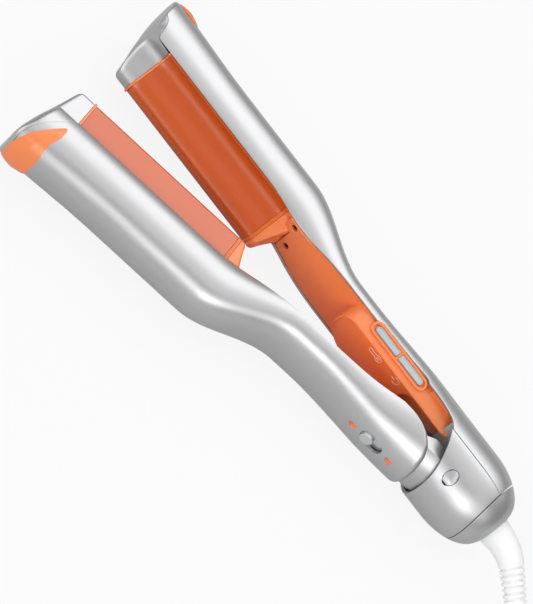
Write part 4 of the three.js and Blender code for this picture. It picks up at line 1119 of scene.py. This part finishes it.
def make_tail_cover():
    """The tail housing's front cover with its two pin holes, and the grey floor inside its mouth."""
    margin = 0.007
    floor_y, rim_gap = -0.8, 1.2

    def cover_place(u, w):
        angle = mix(margin, pi - margin, w)
        y = TAIL_Y + TAIL_RADIUS * sin(angle)
        x = mix(seam_x(y) + 0.3, mouth_x(y), u)
        radius = tail_radius(x)
        return laid(BASE.place, x, TAIL_Y + radius * sin(angle), radius * cos(angle))

    def floor_place(u, v):
        x = mix(34, 56, u)
        reach = sqrt(tail_radius(x) ** 2 - (TAIL_Y - floor_y) ** 2) - rim_gap
        return laid(BASE.place, x, floor_y, mix(-reach, reach, v))

    floor = thicken(spread("mouth_floor", 20, 30, floor_place), 1 * MM)
    cover = spread("tail_cover", 44, 64, cover_place)
    thicken(cover, 1.8 * MM)
    bevel(cover, 0.2 * MM, 3, 50)
    for side in (1, -1):
        cut(cover, pin_tool(side))
    settle(floor, "base_arm", "silver_casing", angle=40, finish="mouth_grey")
    settle(cover, "base_arm", "silver_casing", "tail_front_cover", angle=40)


def make_tail_cap():
    """The rounded cap at the tail's end, from inside the cord's hole to the seam."""
    profile = [(3.2, EXIT_RADIUS + 0.3), (0.4, EXIT_RADIUS + 0.3), (0, EXIT_RADIUS + 0.6),
               (0, EXIT_RADIUS + 1.4)]
    for i in range(1, 25):
        x = CAP_SPLIT * (i / 24) ** 1.6
        profile.append((x, tail_radius(x)))
    profile.append((CAP_SPLIT, tail_radius(CAP_SPLIT) - 1.6))
    count = len(profile) - 1

    def place(u, w):
        x, radius = profile[round(u * count)]
        angle = 2 * pi * w
        bowed = x * seam_x(TAIL_Y + TAIL_RADIUS * sin(angle)) / CAP_SPLIT
        radius += tail_radius(bowed) - tail_radius(x)
        return laid(BASE.place, bowed if x > 0.5 else x, TAIL_Y + radius * sin(angle), radius * cos(angle))

    cap = weld(spread("tail_end_cap", count, 96, place), outward=False)
    settle(cap, "base_arm", "silver_casing", "tail_cap", angle=40)


def make_hinge():
    """The hinge caps on both sides and the neck of the front arm."""
    for side in ("near", "far"):
        piece = flush(refined(f"hinge_cap_{side}", f"hinge_pin_cover_{side}", 0.35))
        settle(piece, "base_arm", "silver_casing", f"hinge_cap_{side}")
    neck = refined("front_neck", "hinge_neck", 0.7, 4)
    settle(neck, "front_arm", "silver_casing", "front_neck", angle=40)


def flush(piece):
    """Bends the outer face of a hinge cap so that it follows the round housing."""
    axis = ORIGIN + Vector((0, TAIL_Y, 0))
    top = max(abs(vertex.co.z / MM - axis.z) for vertex in piece.data.vertices)
    face_depth, proud = 1.2, 0.05
    for vertex in piece.data.vertices:
        p = vertex.co / MM - axis
        if abs(p.z) > top - face_depth:
            height = sqrt(tail_radius(p.x) ** 2 - p.y ** 2) + proud
            vertex.co.z = (axis.z + copysign(height + abs(p.z) - top, p.z)) * MM
    return piece


def pin_tool(side):
    """A round tool that opens the cover for a hinge cap."""
    radius, depth, away = 3.72, 16, 22
    deselect()
    bpy.ops.mesh.primitive_cylinder_add(vertices=48, radius=radius * MM, depth=depth * MM)
    tool = bpy.context.object
    centre = (ORIGIN + PIVOT + Vector((0, 0, side * away))) * MM
    for vertex in tool.data.vertices:
        vertex.co = vertex.co + centre
    return tool


# The cord side

def smooth_route(points, gap):
    """A smooth line through a route, at the height of the cord's exit."""
    return [p + Vector((0, TAIL_Y, 0)) for p in catmull(points, gap)]


def cord_route():
    """The whole centreline in millimetres from the exit to the plug.

    The coil runs inwards on the floor, climbs over half a turn and runs outwards on top of itself.
    """
    per_turn, climb_turns = 24, 0.5
    inner = COIL_OUTER - COIL_PITCH * COIL_TURNS
    coil = []
    for i in range(int((2 * COIL_TURNS + climb_turns) * per_turn) + 1):
        turn = i / per_turn
        over = turn - COIL_TURNS
        climb = smooth(0, climb_turns, over)
        if over <= 0:
            reach = COIL_OUTER - COIL_PITCH * turn
        elif over <= climb_turns:
            reach = inner - COIL_PITCH * over * (1 - over / climb_turns)
        else:
            reach = inner + COIL_PITCH * (over - climb_turns)
        angle = pi / 2 + turn * 2 * pi
        z = COIL_BASE + COIL_PITCH * climb
        coil.append((COIL_X + reach * cos(angle), COIL_Y + reach * sin(angle), z))
    return smooth_route([*RELIEF_ROUTE[1:], *LEAD_ROUTE, *coil, *END_ROUTE], 2.4)


def relief_radius(s):
    return between(((0, 8.9), (6, 8.5), (12, 7.7), (17, 7.3), (25, 6.6), (60, 5)), s)


def make_cord(sizes):
    """The strain relief, the cord with its coil, the tie and the plug."""
    path = cord_route()
    length_mm = run_length(path)
    cord = tube("cord", path, CORD_RADIUS, 20)
    settle(cord, "cord_side", "white_cord", "cord_lead", "cord_coil", "cord_end")

    route = even_line(smooth_route(RELIEF_ROUTE, 0.3), 200)
    total = run_length(route)
    first_rib, rib_pitch, last_rib = 23.4, 3.1, 0.965

    def radius(share):
        s = share * total
        groove = 0.0
        if s > first_rib and share < last_rib:
            phase = ((s - first_rib) % rib_pitch) / rib_pitch
            groove = sizes.rib_depth / MM * (smooth(0.5, 0.62, phase) * (1 - smooth(0.88, 1.0, phase)))
        end = 0.5 * smooth(0.985, 1, share)
        return relief_radius(s) - groove - end

    relief = tube("cord_relief", route, radius, 40)
    settle(relief, "cord_side", "white_cord", "strain_relief")
    tie = refined("cord_tie", "cord_strap", 0.3, 2)
    settle(tie, "cord_side", "black_plastic", "cord_tie")
    plug = make_plug()
    for side in ("left", "right"):
        blade = refined(f"plug_blade_{side}", f"plug_pin_{side}", 0.3, 2)
        settle(blade, "cord_side", "brass", f"plug_blade_{side}")


def make_plug():
    """The moulded two-blade plug, rounded like a squared oval, with two finger hollows."""
    start = Vector(END_ROUTE[-1]) + Vector((0, TAIL_Y, 0))
    stations = ((0.3, 0, 0), (0.3, 4.2, 4.2), (1, 4.6, 4.6), (3, 5, 5), (8, 5.8, 5.5), (14, 7.4, 6.4),
                (17, 9.4, 7.4), (20, 11.5, 8.2), (24, 12.6, 8.6), (30, 12.1, 8.4), (38, 12.2, 8.4),
                (44, 12.6, 8.6), (45.5, 12.3, 8.3), (46, 11.6, 7.7), (46, 0, 0))
    count = len(stations) - 1

    def place(u, v):
        x, half_y, half_z = stations[round(u * count)]
        y = half_y * signed(cos(2 * pi * v), 0.6)
        z = half_z * signed(sin(2 * pi * v), 0.6)
        return (ORIGIN + start + Vector((x, y, z))) * MM

    plug = weld(spread("plug_body", count, 56, place))
    modify(plug, "SUBSURF", levels=1, render_levels=1)
    return settle(plug, "cord_side", "white_cord", "mains_plug", angle=45)


# Stage

# Name, watts, width and height, and offset from what it looks at, in metres
LIGHTS = (
    ("top_light", 14.5, (2.4, 2.1), (0, -0.49, 1.2)),
    ("side_light", 3.5, (1.3, 0.5), (0.05, -0.74, 0.88)),
    ("front_light", 11.5, (3.0, 2.1), (0, 1.75, 0.97)),
    ("tip_light", 6.5, (1.2, 0.9), (0.95, 0.67, 0.77)),
    ("cord_light", 3.5, (1.2, 0.9), (-0.95, 0.67, 0.77)),
    ("strip_light", 0.45, (1.1, 0.1), (0, 0.88, 0.82)),
)
TAIL_LIGHT = ("tail_light", 0.85, (0.32, 0.24), (-0.18, 0.52, 0.31))


def area_light(aim, name, energy, size, offset):
    """A soft light that looks at a place from an offset in metres."""
    offset = Vector(offset)
    deselect()
    bpy.ops.object.light_add(type="AREA", location=aim + offset)
    lamp = bpy.context.object
    lamp.name = name
    lamp.data.shape = "RECTANGLE"
    lamp.data.energy = energy
    lamp.data.size, lamp.data.size_y = size
    lamp.rotation_euler = (-offset).to_track_quat("-Z", "Y").to_euler()


def make_camera():
    """A long lens at the photograph's angle, turned so that the arms run up to the left."""
    right = Vector((-0.6115, -0.6317, 0.4760)).normalized()
    towards = Vector((0, 0.6018, 0.7986)).normalized()
    up = towards.cross(right).normalized()
    right = up.cross(towards).normalized()
    aim = (ORIGIN + Vector((160.5, 25.3 + TAIL_Y, 0))) * MM
    data = bpy.data.cameras.new("photo_camera")
    camera = bpy.data.objects.new("photo_camera", data)
    bpy.context.scene.collection.objects.link(camera)
    data.sensor_width = 36
    data.lens = 190.7
    data.clip_end = 20
    turn = Matrix((right, up, towards)).transposed().to_4x4()
    camera.matrix_world = Matrix.Translation(aim + towards * 1.6) @ turn
    bpy.context.scene.camera = camera
    return aim


def background_share(tree, seen, mirrored):
    """How much of the plain white shows: to the camera and through glass, and in metal and gloss."""
    path = add_node(tree, "ShaderNodeLightPath")
    direct = add_node(tree, "ShaderNodeMath", {"operation": "MAXIMUM"},
                      {0: path.outputs["Is Camera Ray"], 1: path.outputs["Is Transmission Ray"]})
    direct = add_node(tree, "ShaderNodeMath", {"operation": "MULTIPLY", 1: seen}, {0: direct.outputs[0]})
    gloss = add_node(tree, "ShaderNodeMath", {"operation": "MULTIPLY", 1: mirrored},
                     {0: path.outputs["Is Glossy Ray"]})
    return add_node(tree, "ShaderNodeMath", {"operation": "MAXIMUM"},
                    {0: direct.outputs[0], 1: gloss.outputs[0]}).outputs[0]


def make_backdrop():
    """A pale floor that keeps the shadow, under a white surround."""
    deselect()
    bpy.ops.mesh.primitive_plane_add(size=8)
    floor = bpy.context.object
    floor.name = "studio_floor"
    material = bpy.data.materials.new("pale_studio_floor")
    material.use_nodes = True
    tree = material.node_tree
    tree.nodes.clear()
    share = background_share(tree, 0.88, 0.15)
    matt = add_node(tree, "ShaderNodeBsdfDiffuse", {"Color": (0.64, 0.64, 0.64, 1)})
    white = add_node(tree, "ShaderNodeEmission", {"Color": (1, 1, 1, 1), "Strength": 1.0})
    both = add_node(tree, "ShaderNodeMixShader", {}, {0: share, 1: matt.outputs[0], 2: white.outputs[0]})
    add_node(tree, "ShaderNodeOutputMaterial", {}, {"Surface": both.outputs[0]})
    floor.data.materials.append(material)

    world = bpy.data.worlds.new("studio_surround")
    bpy.context.scene.world = world
    world.use_nodes = True
    tree = world.node_tree
    tree.nodes.clear()
    share = background_share(tree, 1.0, 0.15)
    lit = add_node(tree, "ShaderNodeBackground", {"Color": (0.98, 0.99, 1, 1), "Strength": 0.12})
    plain = add_node(tree, "ShaderNodeBackground", {"Color": (1, 1, 1, 1), "Strength": 1.0})
    both = add_node(tree, "ShaderNodeMixShader", {}, {0: share, 1: lit.outputs[0], 2: plain.outputs[0]})
    add_node(tree, "ShaderNodeOutputWorld", {}, {"Surface": both.outputs[0]})


class WAVER_OT_stage(bpy.types.Operator):
    """Add the camera, the soft lights, the floor and the white surround"""

    bl_idname = "waver.stage"
    bl_label = "Stage"

    def execute(self, context):
        context.scene.view_settings.view_transform = "Standard"
        aim = make_camera()
        make_backdrop()
        for light in LIGHTS:
            area_light(aim, *light)
        area_light((ORIGIN + Vector((45, 5, 0))) * MM, *TAIL_LIGHT)
        return {"FINISHED"}


class WAVER_OT_cord(bpy.types.Operator):
    """Add the strain relief, the cord, its tie and the plug"""

    bl_idname = "waver.cord"
    bl_label = "Cord and plug"

    def execute(self, context):
        make_cord(context.scene.waver_sizes)
        return {"FINISHED"}


class WAVER_OT_casings(bpy.types.Operator):
    """Add the silver casings of both arms"""

    bl_idname = "waver.casings"
    bl_label = "Casings"

    def execute(self, context):
        for arm in ARMS:
            make_casing(arm, context.scene.waver_sizes)
        return {"FINISHED"}


class WAVER_OT_tips(bpy.types.Operator):
    """Add the tip caps and the orange tip inlays"""

    bl_idname = "waver.tips"
    bl_label = "Tips"

    def execute(self, context):
        for arm in ARMS:
            make_end_cap(arm, context.scene.waver_sizes)
            make_accent(arm, context.scene.waver_sizes)
        return {"FINISHED"}


class WAVER_OT_jaws(bpy.types.Operator):
    """Add the wave plates, their bands and lips, the root covers and the inner panels"""

    bl_idname = "waver.jaws"
    bl_label = "Jaws"

    def execute(self, context):
        for arm in ARMS:
            make_jaw(arm, context.scene.waver_sizes)
            make_root_block(arm)
            make_inner_panel(arm)
        return {"FINISHED"}


class WAVER_OT_controls(bpy.types.Operator):
    """Add the console with its symbols, the keys and the lock slider"""

    bl_idname = "waver.controls"
    bl_label = "Console and keys"

    def execute(self, context):
        make_console()
        make_keys()
        make_slider()
        make_symbols()
        return {"FINISHED"}


class WAVER_OT_tail(bpy.types.Operator):
    """Add the tail housing, the hinge caps and the neck"""

    bl_idname = "waver.tail"
    bl_label = "Tail and hinge"

    def execute(self, context):
        make_tail_cover()
        make_tail_cap()
        make_hinge()
        return {"FINISHED"}


class WAVER_OT_kept_nodes(bpy.types.Operator):
    """Give the solids that stay as they are their real finishes, and the panel screws a dark one that paints the
    shade in their holes
    """

    bl_idname = "waver.kept_nodes"
    bl_label = "Inner pieces"

    def execute(self, context):
        slots = {row["node"]: row["material_slot"] for row in frame["record"]["subparts"]}
        for name, node in frame["nodes"].items():
            node.data.materials.clear()
            # The panel screws get painted shade: a dark brown that stands in for the shadow in their holes
            finish = "shade_darkened_screw" if "panel_screw" in name else slots[name]
            node.data.materials.append(MATERIALS[finish])
        return {"FINISHED"}


OPERATORS = (WAVER_OT_stage, WAVER_OT_cord, WAVER_OT_casings, WAVER_OT_tips, WAVER_OT_jaws,
             WAVER_OT_controls, WAVER_OT_tail, WAVER_OT_kept_nodes)


class WAVER_PT_panel(bpy.types.Panel):
    """Lists the steps that make the waver"""

    bl_idname = "WAVER_PT_panel"
    bl_label = "Hair waver"
    bl_space_type = "VIEW_3D"
    bl_region_type = "UI"
    bl_category = "Waver"

    def draw(self, context):
        for operator in OPERATORS:
            self.layout.operator(operator.bl_idname)


CLASSES = (WaverSizes, WaverColours, *OPERATORS, WAVER_PT_panel)


def register():
    for one in CLASSES:
        bpy.utils.register_class(one)
    bpy.types.Scene.waver_sizes = PointerProperty(type=WaverSizes)
    bpy.types.Scene.waver_colours = PointerProperty(type=WaverColours)


def unregister():
    del bpy.types.Scene.waver_colours
    del bpy.types.Scene.waver_sizes
    for one in reversed(CLASSES):
        bpy.utils.unregister_class(one)


def main():
    register()
    make_materials()
    for step in (bpy.ops.waver.stage, bpy.ops.waver.cord, bpy.ops.waver.casings, bpy.ops.waver.tips,
                 bpy.ops.waver.jaws, bpy.ops.waver.controls, bpy.ops.waver.tail, bpy.ops.waver.kept_nodes):
        step()


if __name__ == "__main__":
    main()
